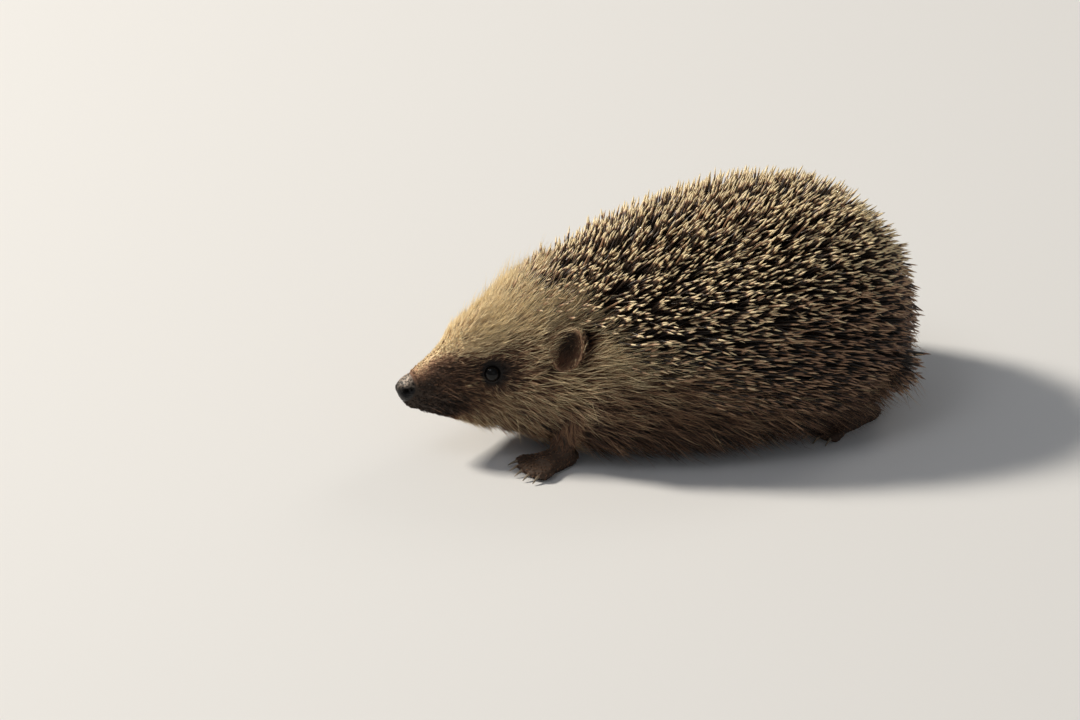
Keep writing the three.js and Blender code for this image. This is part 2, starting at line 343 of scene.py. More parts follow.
VOXEL = 1.1 * MM
applied(
    skin,
    ("REMESH", {"mode": "VOXEL", "voxel_size": VOXEL}),
    ("SMOOTH", {"factor": 0.5, "iterations": 5}),
)
print(f"skin has {len(skin.data.polygons)} faces")

# %% [markdown]
# ## Finer faces where the skin shows
#
# Lids, nostrils and toes need faces of a third of a millimetre, and the back doesn't. So only
# the faces of the front of the head and of the feet are divided, and those round the eyes and nose
# once more.

# %% Divide the faces of the head, the eyes and nose, and the feet
eye_low, eye_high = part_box("eye_left")
EYE = (Vector(eye_low) + Vector(eye_high)) / 2
EYE_RADIUS = (eye_high[2] - eye_low[2]) / 2
FINE_HEAD = 37 * MM
FINE_NOSE = 11 * MM
FINE_EYE = 8 * MM
FOOT_START, FOOT_TOP = 30 * MM, 7 * MM
PAD_REGION, PAD_EASINGS = 8 * MM, 12

detail_bm = bmesh.new()
detail_bm.from_mesh(skin.data)


def mirrored_distance(point, centre):
    """Distance to a place that exists on both sides of the animal."""
    return math.hypot(abs(point[0]) - centre[0], point[1] - centre[1], point[2] - centre[2])


def ease(bm, corners, factor, times):
    """Moves corners towards the middle of their neighbours."""
    axes = dict(use_axis_x=True, use_axis_y=True, use_axis_z=True)
    for _ in range(times):
        bmesh.ops.smooth_vert(bm, verts=corners, factor=factor, **axes)


def divide(test):
    """Divides every face whose middle passes the test, then eases the new corners."""
    chosen = [f for f in detail_bm.faces if test(f.calc_center_median())]
    edges = list({e for f in chosen for e in f.edges})
    bmesh.ops.subdivide_edges(detail_bm, edges=edges, cuts=1, use_grid_fill=True)
    ease(detail_bm, [v for v in detail_bm.verts if test(v.co)], 0.5, 2)


divide(lambda p: p.y - nose_y < FINE_HEAD or p.y - nose_y > FOOT_START and p.z < FOOT_TOP)
divide(lambda p: p.y - nose_y < FINE_NOSE or mirrored_distance(p, EYE) < FINE_EYE)
divide(lambda p: mirrored_distance(p, EYE) < 0.6 * FINE_EYE)
pad_corners = [v for v in detail_bm.verts if v.co.y - nose_y < PAD_REGION]
ease(detail_bm, pad_corners, 0.5, PAD_EASINGS)
detail_bm.to_mesh(skin.data)
detail_bm.free()
print(f"skin has {len(skin.data.polygons)} faces after dividing")

# %% [markdown]
# ## Eyelids, nostrils and mouth
#
# These could be cut with booleans, which leave ragged faces. Pushing the fine faces with smooth
# formulas keeps the surface whole: the skin is drawn over each eyeball as lids, and falls in
# behind the ball inside the opening, so that the glossy eye shows between them.

# %% Shape the lids
OPENING = math.radians(67)
LID = 0.36 * MM
EYE_AXIS = Vector((0.9, -0.3, 0.3)).normalized()


def skin_arrays():
    """Places and normals of the skin's corners."""
    count = len(skin.data.vertices)
    co, no = np.empty(count * 3), np.empty(count * 3)
    skin.data.vertices.foreach_get("co", co)
    skin.data.vertex_normals.foreach_get("vector", no)
    return co.reshape(-1, 3), no.reshape(-1, 3)


def unit(vectors):
    return vectors / np.maximum(np.linalg.norm(vectors, axis=-1, keepdims=True), 1e-12)


def across(vector, sign):
    """A left-side vector, or its mirror image for the right side."""
    return np.array([vector[0] * sign, vector[1], vector[2]])


def draw_lids(places, sign):
    centre, axis = across(EYE, sign), across(EYE_AXIS, sign)
    spoke = places - centre
    reach = np.linalg.norm(spoke, axis=1)
    heading = spoke / reach[:, None]
    angle = np.arccos(np.clip(heading @ axis, -1, 1))
    out = reach * np.sin(angle)
    open_share = 1 - ramp(angle, OPENING - math.radians(5), OPENING + math.radians(5))
    rounded = EYE_RADIUS + LID * (0.55 + 0.45 * ramp(angle, OPENING, OPENING + math.radians(16)))
    target = rounded * (1 - open_share) + (EYE_RADIUS - 1.3 * MM) * open_share
    fold = 0.3 * MM * np.exp(-(((out - EYE_RADIUS - 1.2 * MM) / (0.5 * MM)) ** 2))
    hold = 1 - ramp(out, EYE_RADIUS + 0.3 * MM, EYE_RADIUS + 3.2 * MM)
    hold *= angle < math.radians(100)
    moved = reach * (1 - hold) + target * hold - fold * (reach < 3 * EYE_RADIUS)
    near = reach < EYE_RADIUS + 6 * MM
    places[near] = (centre + heading * moved[:, None])[near]


# %% Shape the nose pad, its nostrils and the mouth line
PAD_MIDDLE, PAD_HALF = (0, 2.2, 30.4), (6, 6.4, 5.7)
NOSTRIL = np.array([3.7, 3.2, 29.6])
NOSTRIL_TAIL = np.array([4.6, 5.4, 30.6])
NOSTRIL_WING = np.array([4.0, 3.4, 31.6])
MOUTH_START, MOUTH_END = 8.5, 33


def on_left(points):
    """The places, with those of the right side mirrored to the left."""
    return np.stack([np.abs(points[..., 0]), points[..., 1], points[..., 2]], axis=-1)


def sided(vectors, points):
    """Left-side vectors, mirrored where the place is on the right side."""
    flip = np.ones((len(points), 3))
    flip[:, 0] = np.sign(points[:, 0])
    return vectors * flip


def eye_distance(points):
    """Distance in mm from the middle of the eye on the same side."""
    return np.linalg.norm(on_left(points) - np.array(EYE), axis=-1) / MM


def bell(distance, width):
    """1 at no distance, falling off smoothly over about the width."""
    return np.exp(-((distance / width) ** 2))


def in_mm(places):
    """Side (unsigned), distance behind the nose and height, in millimetres."""
    return np.abs(places[:, 0]) / MM, (places[:, 1] - nose_y) / MM, places[:, 2] / MM


def pad_distance(places):
    """1 at the rim of the bare nose pad, less inside it and more outside."""
    side, behind, height = in_mm(places)
    spot = np.stack([side / PAD_HALF[0], (behind - PAD_MIDDLE[1]) / PAD_HALF[1]], axis=1)
    return np.hypot(np.linalg.norm(spot, axis=1), (height - PAD_MIDDLE[2]) / PAD_HALF[2])


def shape_nose(places, normals):
    side, behind, height = in_mm(places)
    spot = np.stack([side, behind, height], axis=1)
    sink = 2.6 * bell(np.linalg.norm(spot - NOSTRIL, axis=1), 1.35)
    sink += 1.7 * bell(np.linalg.norm(spot - NOSTRIL_TAIL, axis=1), 1)
    sink -= 0.6 * bell(np.linalg.norm(spot - NOSTRIL_WING, axis=1), 1.5)
    sink -= 0.35 * bell(np.linalg.norm(spot - NOSTRIL + np.array([0.2, 0.4, 2]), axis=1), 1.2)
    sink += 0.5 * bell(side, 0.5) * (1 - ramp(behind, 7, 9)) * (1 - ramp(height, 31, 33.5))
    rim = pad_distance(places)
    sink += 0.3 * bell(rim - 1.08, 0.09) - 0.12 * bell(rim - 0.85, 0.15)
    mouth = 22.3 - 0.16 * (behind - MOUTH_START)
    along = ramp(behind, MOUTH_START - 2, MOUTH_START) * (1 - ramp(behind, MOUTH_END - 6, MOUTH_END))
    sink += 0.8 * bell(height - mouth, 0.5) * along
    sink -= 0.4 * bell(height - mouth - 1.4, 0.9) * along
    places -= normals * (sink * MM)[:, None]


places, normals = skin_arrays()
shape_nose(places, normals)
for sign in (1, -1):
    draw_lids(places, sign)
sole = (places[:, 2] < 0.9 * MM) & (normals[:, 2] < -0.6)
places[sole, 2] = 0.05 * MM
skin.data.vertices.foreach_set("co", places.ravel())
skin.data.update()
print(f"lids drawn over eyes of {2 * EYE_RADIUS / MM:.1f} mm")

# %% [markdown]
# ## Ears
#
# An ear is a thin spoon of skin, hollow towards the front and side. It could be sculpted, but
# half of a stretched ball given a wall has the shape already. The ears are joined to the skin
# under the fur, so they need no seam.

# %% Shape one ear and join both to the skin
ear_low, ear_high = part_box("ear_left")
EAR = (np.array(ear_low) + np.array(ear_high)) / 2 + np.array([-2.6, 0.3, -1.4]) * MM
EAR_DEPTH, EAR_HALF_WIDTH, EAR_HALF_HEIGHT = 6.5 * MM, 6.7 * MM, 9 * MM
EAR_WALL = 1.1 * MM
EAR_CUT = 0.15
EAR_FACING = Vector((0.8, -0.52, 0.27)).normalized()
EAR_UP = Vector((-0.12, 0.3, 0.95))
EAR_UP = (EAR_UP - EAR_FACING * EAR_UP.dot(EAR_FACING)).normalized()
EAR_BACK = EAR_UP.cross(EAR_FACING)
ear_frame = np.array([EAR_FACING, EAR_BACK, EAR_UP])


def ear_bowl():
    """The left ear as a closed thin bowl. Its local x faces out of the hollow, z is up."""
    bm = bmesh.new()
    bmesh.ops.create_uvsphere(bm, u_segments=40, v_segments=28, radius=1)
    bmesh.ops.bisect_plane(
        bm,
        geom=bm.verts[:] + bm.edges[:] + bm.faces[:],
        plane_co=(EAR_CUT, 0, 0),
        plane_no=(1, 0, 0),
        clear_outer=True,
    )
    for v in bm.verts:
        x, y, z = v.co
        narrow = 1 - 0.18 * float(ramp(-z, 0.1, 1))
        roll = 0.28 * float(ramp(x, -0.35, EAR_CUT)) * float(ramp(y, -0.2, 0.9))
        deep = EAR_DEPTH * (1 - 0.35 * float(ramp(z, 0.1, 1)))
        v.co = (
            x * deep + roll * 2.2 * MM * y,
            (y * narrow + 0.1 * z * z) * EAR_HALF_WIDTH,
            z * EAR_HALF_HEIGHT,
        )
    bmesh.ops.recalc_face_normals(bm, faces=bm.faces)
    bmesh.ops.solidify(bm, geom=bm.faces[:], thickness=EAR_WALL)
    bmesh.ops.recalc_face_normals(bm, faces=bm.faces)
    ease(bm, bm.verts, 0.4, 2)
    turn = Matrix((EAR_FACING, EAR_BACK, EAR_UP)).transposed().to_4x4()
    bmesh.ops.transform(bm, matrix=Matrix.Translation(Vector(EAR)) @ turn, verts=bm.verts)
    return bm


def ear_local(points):
    """Places in the frame of the ear on their side: out of the hollow, to the rear and up."""
    return (on_left(points) - EAR) @ ear_frame.T


places, normals = skin_arrays()
local = ear_local(places)
within = np.hypot(local[:, 1] / EAR_HALF_WIDTH, local[:, 2] / EAR_HALF_HEIGHT)
bottom = -EAR_DEPTH * np.sqrt(np.clip(1 - within**2, 0, 1)) - 0.1 * MM
under_ear = (within < 0.97) & (np.abs(local[:, 0]) < EAR_DEPTH)
dent = np.where(under_ear, np.maximum(local[:, 0] - bottom, 0), 0)
inward = sided(-ear_frame[0], places)
places += inward * dent[:, None]
skin.data.vertices.foreach_set("co", places.ravel())

body_count = len(skin.data.vertices)
joined = bmesh.new()
joined.from_mesh(skin.data)
for sign in (1, -1):
    bowl = ear_bowl()
    if sign < 0:
        bmesh.ops.scale(bowl, vec=(-1, 1, 1), verts=bowl.verts)
        bmesh.ops.reverse_faces(bowl, faces=bowl.faces)
    ear_mesh = bpy.data.meshes.new("ear")
    bowl.to_mesh(ear_mesh)
    bowl.free()
    joined.from_mesh(ear_mesh)
joined.to_mesh(skin.data)
joined.free()
print(f"ears {2 * EAR_HALF_HEIGHT / MM:.0f} mm high, skin has {len(skin.data.polygons)} faces")


# %% Keep the surfaces of body and ears for sowing hair
def surface_of(chosen):
    """Corner places, corner normals and area of the triangles whose corners pass the test."""
    skin.data.calc_loop_triangles()
    index = np.empty(len(skin.data.loop_triangles) * 3, np.int32)
    skin.data.loop_triangles.foreach_get("vertices", index)
    index = index.reshape(-1, 3)
    index = index[chosen(index)]
    places, normals = skin_arrays()
    corners = places[index]
    sides = np.cross(corners[:, 1] - corners[:, 0], corners[:, 2] - corners[:, 0])
    return corners, normals[index], 0.5 * np.linalg.norm(sides, axis=1)


body_surface = surface_of(lambda index: (index < body_count).all(axis=1))
ear_surface = surface_of(lambda index: (index >= body_count).all(axis=1))
print(f"skin area {body_surface[2].sum() / MM**2:.0f} square mm, ears {ear_surface[2].sum() / MM**2:.0f}")

# %% [markdown]
# ## Markings
#
# Skin and coat share their markings, so both read the same formulas: how pale the animal is at a
# place, from 0, nearly black, to 1, cream. A hedgehog's muzzle is dark up to the eye, its
# forehead is cream, and its cheeks and flanks are grey-brown. A painted image could hold this,
# but a formula is exact on every hair and needs no map.


# %% How pale the coat is
def waves(places, size, seed):
    """Soft random variation over the body, from about -1 to 1, with patches of that size in mm."""
    random = np.random.default_rng(seed)
    total = np.zeros(len(places))
    for _ in range(6):
        heading = unit(random.normal(size=3))
        total += np.sin(places @ heading / (size * MM) * 2.4 + random.uniform(0, 6.28))
    return total / 3


# The forehead is cream; its tone is set past full cream, which also lightens its hairs towards the root, as
# painted light on the top of the head.
CREAM_AND_PAINTED_LIGHT = 1.35
NECK_STREAK = np.array([32, 76, 45])
# The upper edge of the dark mask, by distance behind the nose.
mask_line = profile({0: 31, 6: 32.5, 10: 34.8, 15: 38.6, 22: 41.6, 30: 42, 38: 39.5, 60: 36})


def coat_tone(places):
    """Cheek, then forehead, mask, the spots round the eye and the pale streak on the neck."""
    side, behind, height = in_mm(places)
    wobble = waves(places, 7, 11)
    forehead_line = 41 + 0.378 * (np.clip(behind, 6, 62) - 15)
    forehead = ramp(height + 1.2 * wobble, forehead_line - 10, forehead_line + 3)
    forehead *= ramp(behind, 5, 10) * (1 - 0.15 * ramp(behind, 60, 80))
    cheek = 0.66 + 0.06 * wobble + 0.08 * ramp(behind, 48, 66)
    # Darker towards the throat and belly and low on the neck: partly the coat's own darker brown, partly
    # painted shade.
    cheek -= 0.34 * (1 - ramp(height, 4, 32)) * ramp(behind, 20, 45)
    cheek -= 0.3 * ramp(behind, 50, 68) * (1 - ramp(height, 30, 46))
    tone = cheek * (1 - forehead) + CREAM_AND_PAINTED_LIGHT * forehead
    mask = 1 - ramp(height + 0.8 * wobble, mask_line(behind) - 2.8, mask_line(behind) + 3.6)
    mask *= 1 - ramp(behind - 0.92 * (height - 19) + 1.5 * wobble, 16.5, 23.5)
    dark = 0.19 + 0.2 * ramp(height, 23, 33) * ramp(behind, 6, 16)
    tone = tone * (1 - mask) + dark * mask
    spot = np.stack([side, behind, height], axis=1)
    behind_eye = np.array(EYE) / MM + np.array([1, 4.5 - nose_y / MM, -0.5])
    tone -= 0.28 * bell(np.linalg.norm(spot - behind_eye, axis=1), 4.5)
    over_eye = np.array(EYE) / MM + np.array([0, -2.5 - nose_y / MM, 5])
    stretched = (spot - over_eye) * np.array([1, 0.6, 1])
    tone -= 0.24 * bell(np.linalg.norm(stretched, axis=1), 4)
    stretched = (spot - NECK_STREAK) * np.array([1, 0.6, 1])
    tone += 0.46 * bell(np.linalg.norm(stretched, axis=1), 8.5)
    tone -= 0.5 * bell(np.maximum(eye_distance(places) - EYE_RADIUS / MM - 0.4, 0), 1)
    return np.clip(tone, 0.03, CREAM_AND_PAINTED_LIGHT)


# The height above which the back is spined, by distance behind the nose.
mantle_edge = profile(
    {
        33: 90,
        39: 66,
        43: 60,
        48: 57,
        54: 55.5,
        60: 55,
        66: 51,
        74: 43,
        84: 37,
        95: 31.5,
        113: 27,
        150: 20,
        180: 18,
        195: 21,
        215: 25,
    }
)


# %% Give the skin its tone, and a float attribute for any piece
def add_float(mesh, name, values):
    attribute = mesh.attributes.new(name, "FLOAT", "POINT")
    attribute.data.foreach_set("value", np.ascontiguousarray(values, np.float32))


places, normals = skin_arrays()
side, behind, height = in_mm(places)
spined = ramp(height, mantle_edge(behind) - 3, mantle_edge(behind) + 3)
pad = 1 - ramp(pad_distance(places), 0.97, 1.06)
bare = 1 - ramp(height, 6, 11)
bare *= ramp(behind, 34, 38)
skin_tone = (0.5 + 0.3 * (1 - ramp(behind, 22, 44))) * coat_tone(places)
skin_tone = skin_tone * (1 - spined) + 0.13 * spined
skin_tone = skin_tone * (1 - bare) + 0.26 * bare
ear_corner = np.arange(len(places)) >= body_count
hollow = ear_local(places) / np.array([EAR_DEPTH, EAR_HALF_WIDTH, EAR_HALF_HEIGHT])
inside_ear = 1 - ramp(np.linalg.norm(hollow[:, 1:], axis=1), 0.72, 0.9)
# Inside the hollow of the ear the skin is darker, as painted shade, and paler towards the rear and bottom of
# the hollow, as painted light.
ear_hollow_light = 0.22 * ramp(hollow[:, 1], 0, 0.7) + 0.2 * ramp(-hollow[:, 2], 0, 0.7)
skin_tone = np.where(ear_corner, 0.62 - (0.4 - 1.2 * ear_hollow_light) * inside_ear, skin_tone)
add_float(skin.data, "tone", skin_tone)
add_float(skin.data, "pad", pad)
# The pale top of the nose pad is a painted highlight: a wet glint painted into the pad's colour.
add_float(skin.data, "pad_painted_glint", ramp(height - 0.25 * behind + 0.8 * waves(places, 1.5, 17), 29.5, 34))
print(f"nose pad covers {np.sum(pad > 0.5)} corners")

# %% [markdown]
# ## Materials
#
# One ramp from black-brown to cream turns the tone into colour, for skin, fur and spines alike.
# A hair could be given a hair shader, but a plain surface with a soft highlight is enough at
# this size and keeps its colour when the model is used elsewhere.


# %% The shared ramp and the looks of skin, fur and spines
TONES = [
    (0.0, (0.010, 0.008, 0.007)),
    (0.25, (0.049, 0.031, 0.021)),
    (0.5, (0.2, 0.105, 0.063)),
    (0.75, (0.53, 0.325, 0.192)),
    (1.0, (1.0, 0.82, 0.5)),
]


def look(name, roughness, **sockets):
    """A material with a Principled shader. Sockets are named with underscores for spaces."""
    made = bpy.data.materials.new(name)
    made.use_nodes = True
    shader = made.node_tree.nodes["Principled BSDF"]
    shader.inputs["Roughness"].default_value = roughness
    for socket, value in sockets.items():
        shader.inputs[socket.replace("_", " ")].default_value = value
    return made


def node(material, kind, **settings):
    made = material.node_tree.nodes.new(kind)
    for key, value in settings.items():
        setattr(made, key, value)
    return made


def link(material, source, output, target, socket):
    material.node_tree.links.new(source.outputs[output], target.inputs[socket])


def tone_colour(material, grain, strength):
    """Colour from the tone attribute, varied by fine noise of that scale."""
    attribute = node(material, "ShaderNodeAttribute", attribute_name="tone")
    place = node(material, "ShaderNodeTexCoord")
    noise = node(material, "ShaderNodeTexNoise")
    noise.inputs["Scale"].default_value = grain
    noise.inputs["Detail"].default_value = 3
    link(material, place, "Object", noise, "Vector")
    spread = node(material, "ShaderNodeMapRange")
    spread.inputs["To Min"].default_value = -strength
    spread.inputs["To Max"].default_value = strength
    link(material, noise, "Fac", spread, "Value")
    total = node(material, "ShaderNodeMath", operation="ADD", use_clamp=True)
    link(material, attribute, "Fac", total, 0)
    link(material, spread, "Result", total, 1)
    ramp_node = node(material, "ShaderNodeValToRGB")
    stops = ramp_node.color_ramp.elements
    while len(stops) < len(TONES):
        stops.new(0.5)
    for stop, (position, colour) in zip(stops, TONES):
        stop.position = position
        stop.color = (*colour, 1)
    link(material, total, "Value", ramp_node, "Fac")
    return ramp_node


def bump(material, texture, output, strength, distance):
    made = node(material, "ShaderNodeBump")
    made.inputs["Strength"].default_value = strength
    made.inputs["Distance"].default_value = distance
    link(material, texture, output, made, "Height")
    return made


fur_look = look("fur", 0.55, Specular_IOR_Level=0.32)
shader = fur_look.node_tree.nodes["Principled BSDF"]
link(fur_look, tone_colour(fur_look, 900, 0.05), "Color", shader, "Base Color")

spine_look = look("spines", 0.38, Specular_IOR_Level=0.5)
shader = spine_look.node_tree.nodes["Principled BSDF"]
link(spine_look, tone_colour(spine_look, 700, 0.04), "Color", shader, "Base Color")

skin_look = look("skin", 0.7, Specular_IOR_Level=0.3)
shader = skin_look.node_tree.nodes["Principled BSDF"]
colour = tone_colour(skin_look, 1400, 0.05)
pad_share = node(skin_look, "ShaderNodeAttribute", attribute_name="pad")
pad_mix = node(skin_look, "ShaderNodeMix", data_type="RGBA")
# The pad is near black; its pale second colour, broken into specks by noise, is a painted highlight on the
# wet top of the pad.
pad_painted_glint = node(skin_look, "ShaderNodeAttribute", attribute_name="pad_painted_glint")
pad_and_glint_colour = node(skin_look, "ShaderNodeMix", data_type="RGBA")
pad_and_glint_colour.inputs["A"].default_value = (0.009, 0.0075, 0.007, 1)
pad_and_glint_colour.inputs["B"].default_value = (0.62, 0.5, 0.4, 1)
grain = node(skin_look, "ShaderNodeTexNoise")
grain.inputs["Scale"].default_value = 1100
grain.inputs["Detail"].default_value = 3
link(skin_look, node(skin_look, "ShaderNodeTexCoord"), "Object", grain, "Vector")
glint_noise_share = node(skin_look, "ShaderNodeMapRange")
glint_noise_share.inputs["From Min"].default_value = 0.38
glint_noise_share.inputs["From Max"].default_value = 0.62
link(skin_look, grain, "Fac", glint_noise_share, "Value")
glint_speckles = node(skin_look, "ShaderNodeMath", operation="MULTIPLY", use_clamp=True)
link(skin_look, pad_painted_glint, "Fac", glint_speckles, 0)
link(skin_look, glint_noise_share, "Result", glint_speckles, 1)
link(skin_look, glint_speckles, "Value", pad_and_glint_colour, "Factor")
link(skin_look, pad_and_glint_colour, "Result", pad_mix, "B")
link(skin_look, pad_share, "Fac", pad_mix, "Factor")
link(skin_look, colour, "Color", pad_mix, "A")
link(skin_look, pad_mix, "Result", shader, "Base Color")
pad_gloss = node(skin_look, "ShaderNodeMapRange")
pad_gloss.inputs["To Min"].default_value = 0.75
pad_gloss.inputs["To Max"].default_value = 0.42
link(skin_look, pad_share, "Fac", pad_gloss, "Value")
link(skin_look, pad_gloss, "Result", shader, "Roughness")
place = node(skin_look, "ShaderNodeTexCoord")
pebbles = node(skin_look, "ShaderNodeTexVoronoi", feature="SMOOTH_F1")
pebbles.inputs["Scale"].default_value = 1900
link(skin_look, place, "Object", pebbles, "Vector")
pebble_height = node(skin_look, "ShaderNodeMath", operation="MULTIPLY")
link(skin_look, pebbles, "Distance", pebble_height, 0)
link(skin_look, pad_share, "Fac", pebble_height, 1)
pebble_bump = bump(skin_look, pebble_height, "Value", 0.9, -0.00022)
link(skin_look, pebble_bump, "Normal", shader, "Normal")
skin.data.materials.append(skin_look)

# %% [markdown]
# ## Strands
#
# A spine and a hair are the same kind of thing: a thin closed cone along a bent line. Particle
# hair would be quicker, but it is no solid mesh. So one function turns arrays of roots, headings
# and lengths into one joined mesh. Each strand or tuft also gets a tiny patch of its own on a UV
# map, at its root's place on an unwrap of the skin: round the body one way, along it the other.

# %% Strand tools
FLOOR_CLEARANCE = 0.6 * MM
PATCH = 0.003
MAP_MARGIN = 0.01


def body_unwrap(places):
    """Where skin places lie on an unwrap of the body: round it one way and along it the other."""
    side, behind, height = in_mm(places)
    level = np.interp(behind, stations, measured[:, 3])
    angle = np.arctan2(height - level - 12, places[:, 0] / MM)
    return np.stack([(angle + math.pi / 2) % (2 * math.pi) / (2 * math.pi), behind / body_length], axis=1)


def spread_on_map(unwrapped):
    """Stretches the unwrap of one piece's roots over the whole map, with room for the patches."""
    low, high = unwrapped.min(axis=0), unwrapped.max(axis=0)
    room = 1 - 2 * MAP_MARGIN - PATCH
    return MAP_MARGIN + (unwrapped - low) / (high - low) * room


def strand_paths(root, start, end, length, stops, bend):
    """The bent middle line of each strand, from its root to its tip."""
    middle = (stops[:-1] + stops[1:]) / 2
    turned = (middle**bend)[None, :, None]
    heading = unit(start[:, None] * (1 - turned) + end[:, None] * turned)
    steps = heading * (length[:, None] * np.diff(stops)[None])[:, :, None]
    path = np.concatenate([root[:, None], root[:, None] + np.cumsum(steps, axis=1)], axis=1)
    path[..., 2] = np.maximum(path[..., 2], FLOOR_CLEARANCE)
    return path


def strand_mesh(name, path, normal, radius, outline, patch, stops, tone, sides, material):
    """One joined mesh of closed cones. tone has a value for each strand at each stop."""
    count, rings = len(path), len(stops) - 1
    heading = unit(np.diff(path, axis=1))
    sideways = unit(np.cross(heading, normal[:, None]))
    upward = np.cross(heading, sideways)
    turn = np.arange(sides) / sides * 2 * math.pi
    spoke = (
        sideways[:, :, None] * np.cos(turn)[None, None, :, None]
        + upward[:, :, None] * np.sin(turn)[None, None, :, None]
    )
    thick = radius[:, None] * outline(stops[:-1])[None]
    ring_points = path[:, :-1, None] + spoke * thick[:, :, None, None]
    corners = np.concatenate([ring_points.reshape(count, -1, 3), path[:, -1:]], axis=1)
    per_strand = rings * sides + 1

    ring, spot = np.meshgrid(np.arange(rings - 1), np.arange(sides), indexing="ij")
    ring, spot = ring.ravel(), spot.ravel()
    following = (spot + 1) % sides
    quads = np.stack(
        [
            ring * sides + spot,
            ring * sides + following,
            (ring + 1) * sides + following,
            (ring + 1) * sides + spot,
        ],
        axis=1,
    )
    last = (rings - 1) * sides
    edge = np.arange(sides)
    tips = np.stack([last + edge, last + (edge + 1) % sides, np.full(sides, rings * sides)], axis=1)
    base = edge[::-1]
    loops_one = np.concatenate([base, quads.ravel(), tips.ravel()])
    sizes_one = np.concatenate([[sides], np.full(len(quads), 4), np.full(sides, 3)])

    low, high = np.zeros(len(ring)), np.ones(len(ring))
    row = ring / rings
    quad_map = np.stack([low, row, high, row, high, row + 1 / rings, low, row + 1 / rings], axis=1)
    tip_map = np.tile([0, 1 - 1 / rings, 1, 1 - 1 / rings, 0.5, 1], (sides, 1))
    base_map = np.stack([base / (sides - 1), 0.08 * (base % 2)], axis=1)
    map_one = np.concatenate([base_map, quad_map.reshape(-1, 2), tip_map.reshape(-1, 2)])

    mesh = bpy.data.meshes.new(name)
    mesh.vertices.add(count * per_strand)
    mesh.vertices.foreach_set("co", corners.ravel())
    loops = (loops_one[None] + (np.arange(count) * per_strand)[:, None]).ravel()
    mesh.loops.add(len(loops))
    mesh.loops.foreach_set("vertex_index", loops.astype(np.int32))
    starts = np.concatenate([[0], np.cumsum(np.tile(sizes_one, count))[:-1]])
    mesh.polygons.add(count * len(sizes_one))
    mesh.polygons.foreach_set("loop_start", starts.astype(np.int32))
    mesh.update(calc_edges=True)
    mesh.polygons.foreach_set("use_smooth", np.ones(len(mesh.polygons), bool))
    uv = (patch[:, None] + PATCH * map_one[None]).reshape(-1)
    mesh.uv_layers.new(name="OFBake").data.foreach_set("uv", uv.astype(np.float32))
    ring_tone = np.repeat(tone[:, :-1], sides, axis=1)
    add_float(mesh, "tone", np.clip(np.concatenate([ring_tone, tone[:, -1:]], axis=1), 0, 1).ravel())
    mesh.materials.append(material)
    piece = bpy.data.objects.new(name, mesh)
    scene.collection.objects.link(piece)
    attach(piece, "root")
    triangles = count * (sides - 2 + 2 * sides * (rings - 1) + sides)
    print(f"{name}: {count} strands, {triangles} triangles")
    return piece


# %% Spread roots evenly over the skin
def scatter(spacing, keep, seed, surface=body_surface):
    """Roots about that many mm apart, and their normals, wherever keep passes for a place."""
    corners, corner_normals, area = surface
    random = np.random.default_rng(seed)
    chance = area * keep(corners.mean(axis=1), unit(corner_normals.mean(axis=1)))
    amount = int(3.2 * chance.sum() / (spacing * MM) ** 2)
    picked = random.choice(len(chance), amount, p=chance / chance.sum())
    a, b = random.random(amount), random.random(amount)
    flip = a + b > 1
    a[flip], b[flip] = 1 - a[flip], 1 - b[flip]
    weights = np.stack([1 - a - b, a, b], axis=1)[:, :, None]
    roots = (corners[picked] * weights).sum(axis=1)
    upright = unit((corner_normals[picked] * weights).sum(axis=1))
    tree = KDTree(amount)
    for i, root in enumerate(roots):
        tree.insert(root, i)
    tree.balance()
    open_place = np.ones(amount, bool)
    for i in range(amount):
        if open_place[i]:
            for _, other, _ in tree.find_range(roots[i], spacing * MM):
                open_place[other] = other == i
    return roots[open_place], upright[open_place]


def tangent(vectors, normal):
    """The vectors laid flat on the surface."""
    return unit(vectors - normal * np.sum(vectors * normal, axis=1, keepdims=True))


def leaning(lie, normal, degrees):
    """Headings that lie along the surface but are lifted off it by an angle."""
    lift = np.radians(degrees)
    lift = np.broadcast_to(lift, len(lie))[:, None]
    return np.cos(lift) * lie + np.sin(lift) * normal


def turned(lie, normal, degrees):
    """Headings turned about the surface normal."""
    angle = np.radians(degrees)[:, None]
    return np.cos(angle) * lie + np.sin(angle) * np.cross(normal, lie)


# %% [markdown]
# ## Spines
#
# A hedgehog has some seven thousand spines, each a smooth cone of horn a millimetre thick and two
# centimetres long. It is pale at the root, has a dark band, and ends in a cream tip. They grow
# from the back only and lie towards the rump, crossing a little.

# %% Grow the spines
SPINE_SPACING = 1.16
SPINE_RADIUS = 0.36 * MM
spine_length = profile({38: 9, 46: 12.5, 56: 16, 75: 20, 100: 22, 165: 22, 200: 18})
SPINE_STOPS = np.array([0, 0.15, 0.48, 0.78, 0.84, 0.93, 1])


EAR_IN_MM = EAR / MM - np.array([0, nose_y / MM, 0])


def on_mantle(points, upright):
    side, behind, height = in_mm(points)
    spined = ramp(height + waves(points, 6, 5) * 1.2, mantle_edge(behind) - 1, mantle_edge(behind) + 1.5)
    from_ear = np.linalg.norm(np.stack([side, behind, height], axis=1) - EAR_IN_MM, axis=1)
    return spined * ramp(from_ear, 9, 12)


def spine_outline(t):
    return np.interp(t, [0, 0.1, 0.7, 0.84, 0.93, 1], [0.55, 1, 1, 0.94, 0.6, 0])


def off_axis(points):
    """Headings away from a line inside the trunk, smoother than the normals of the skin."""
    side, behind, height = in_mm(points)
    inner = np.clip(behind, 62, 160)
    away = np.stack([points[:, 0] / MM, behind - inner, height - 26 - 0.07 * (inner - 62)], axis=1)
    return unit(away)


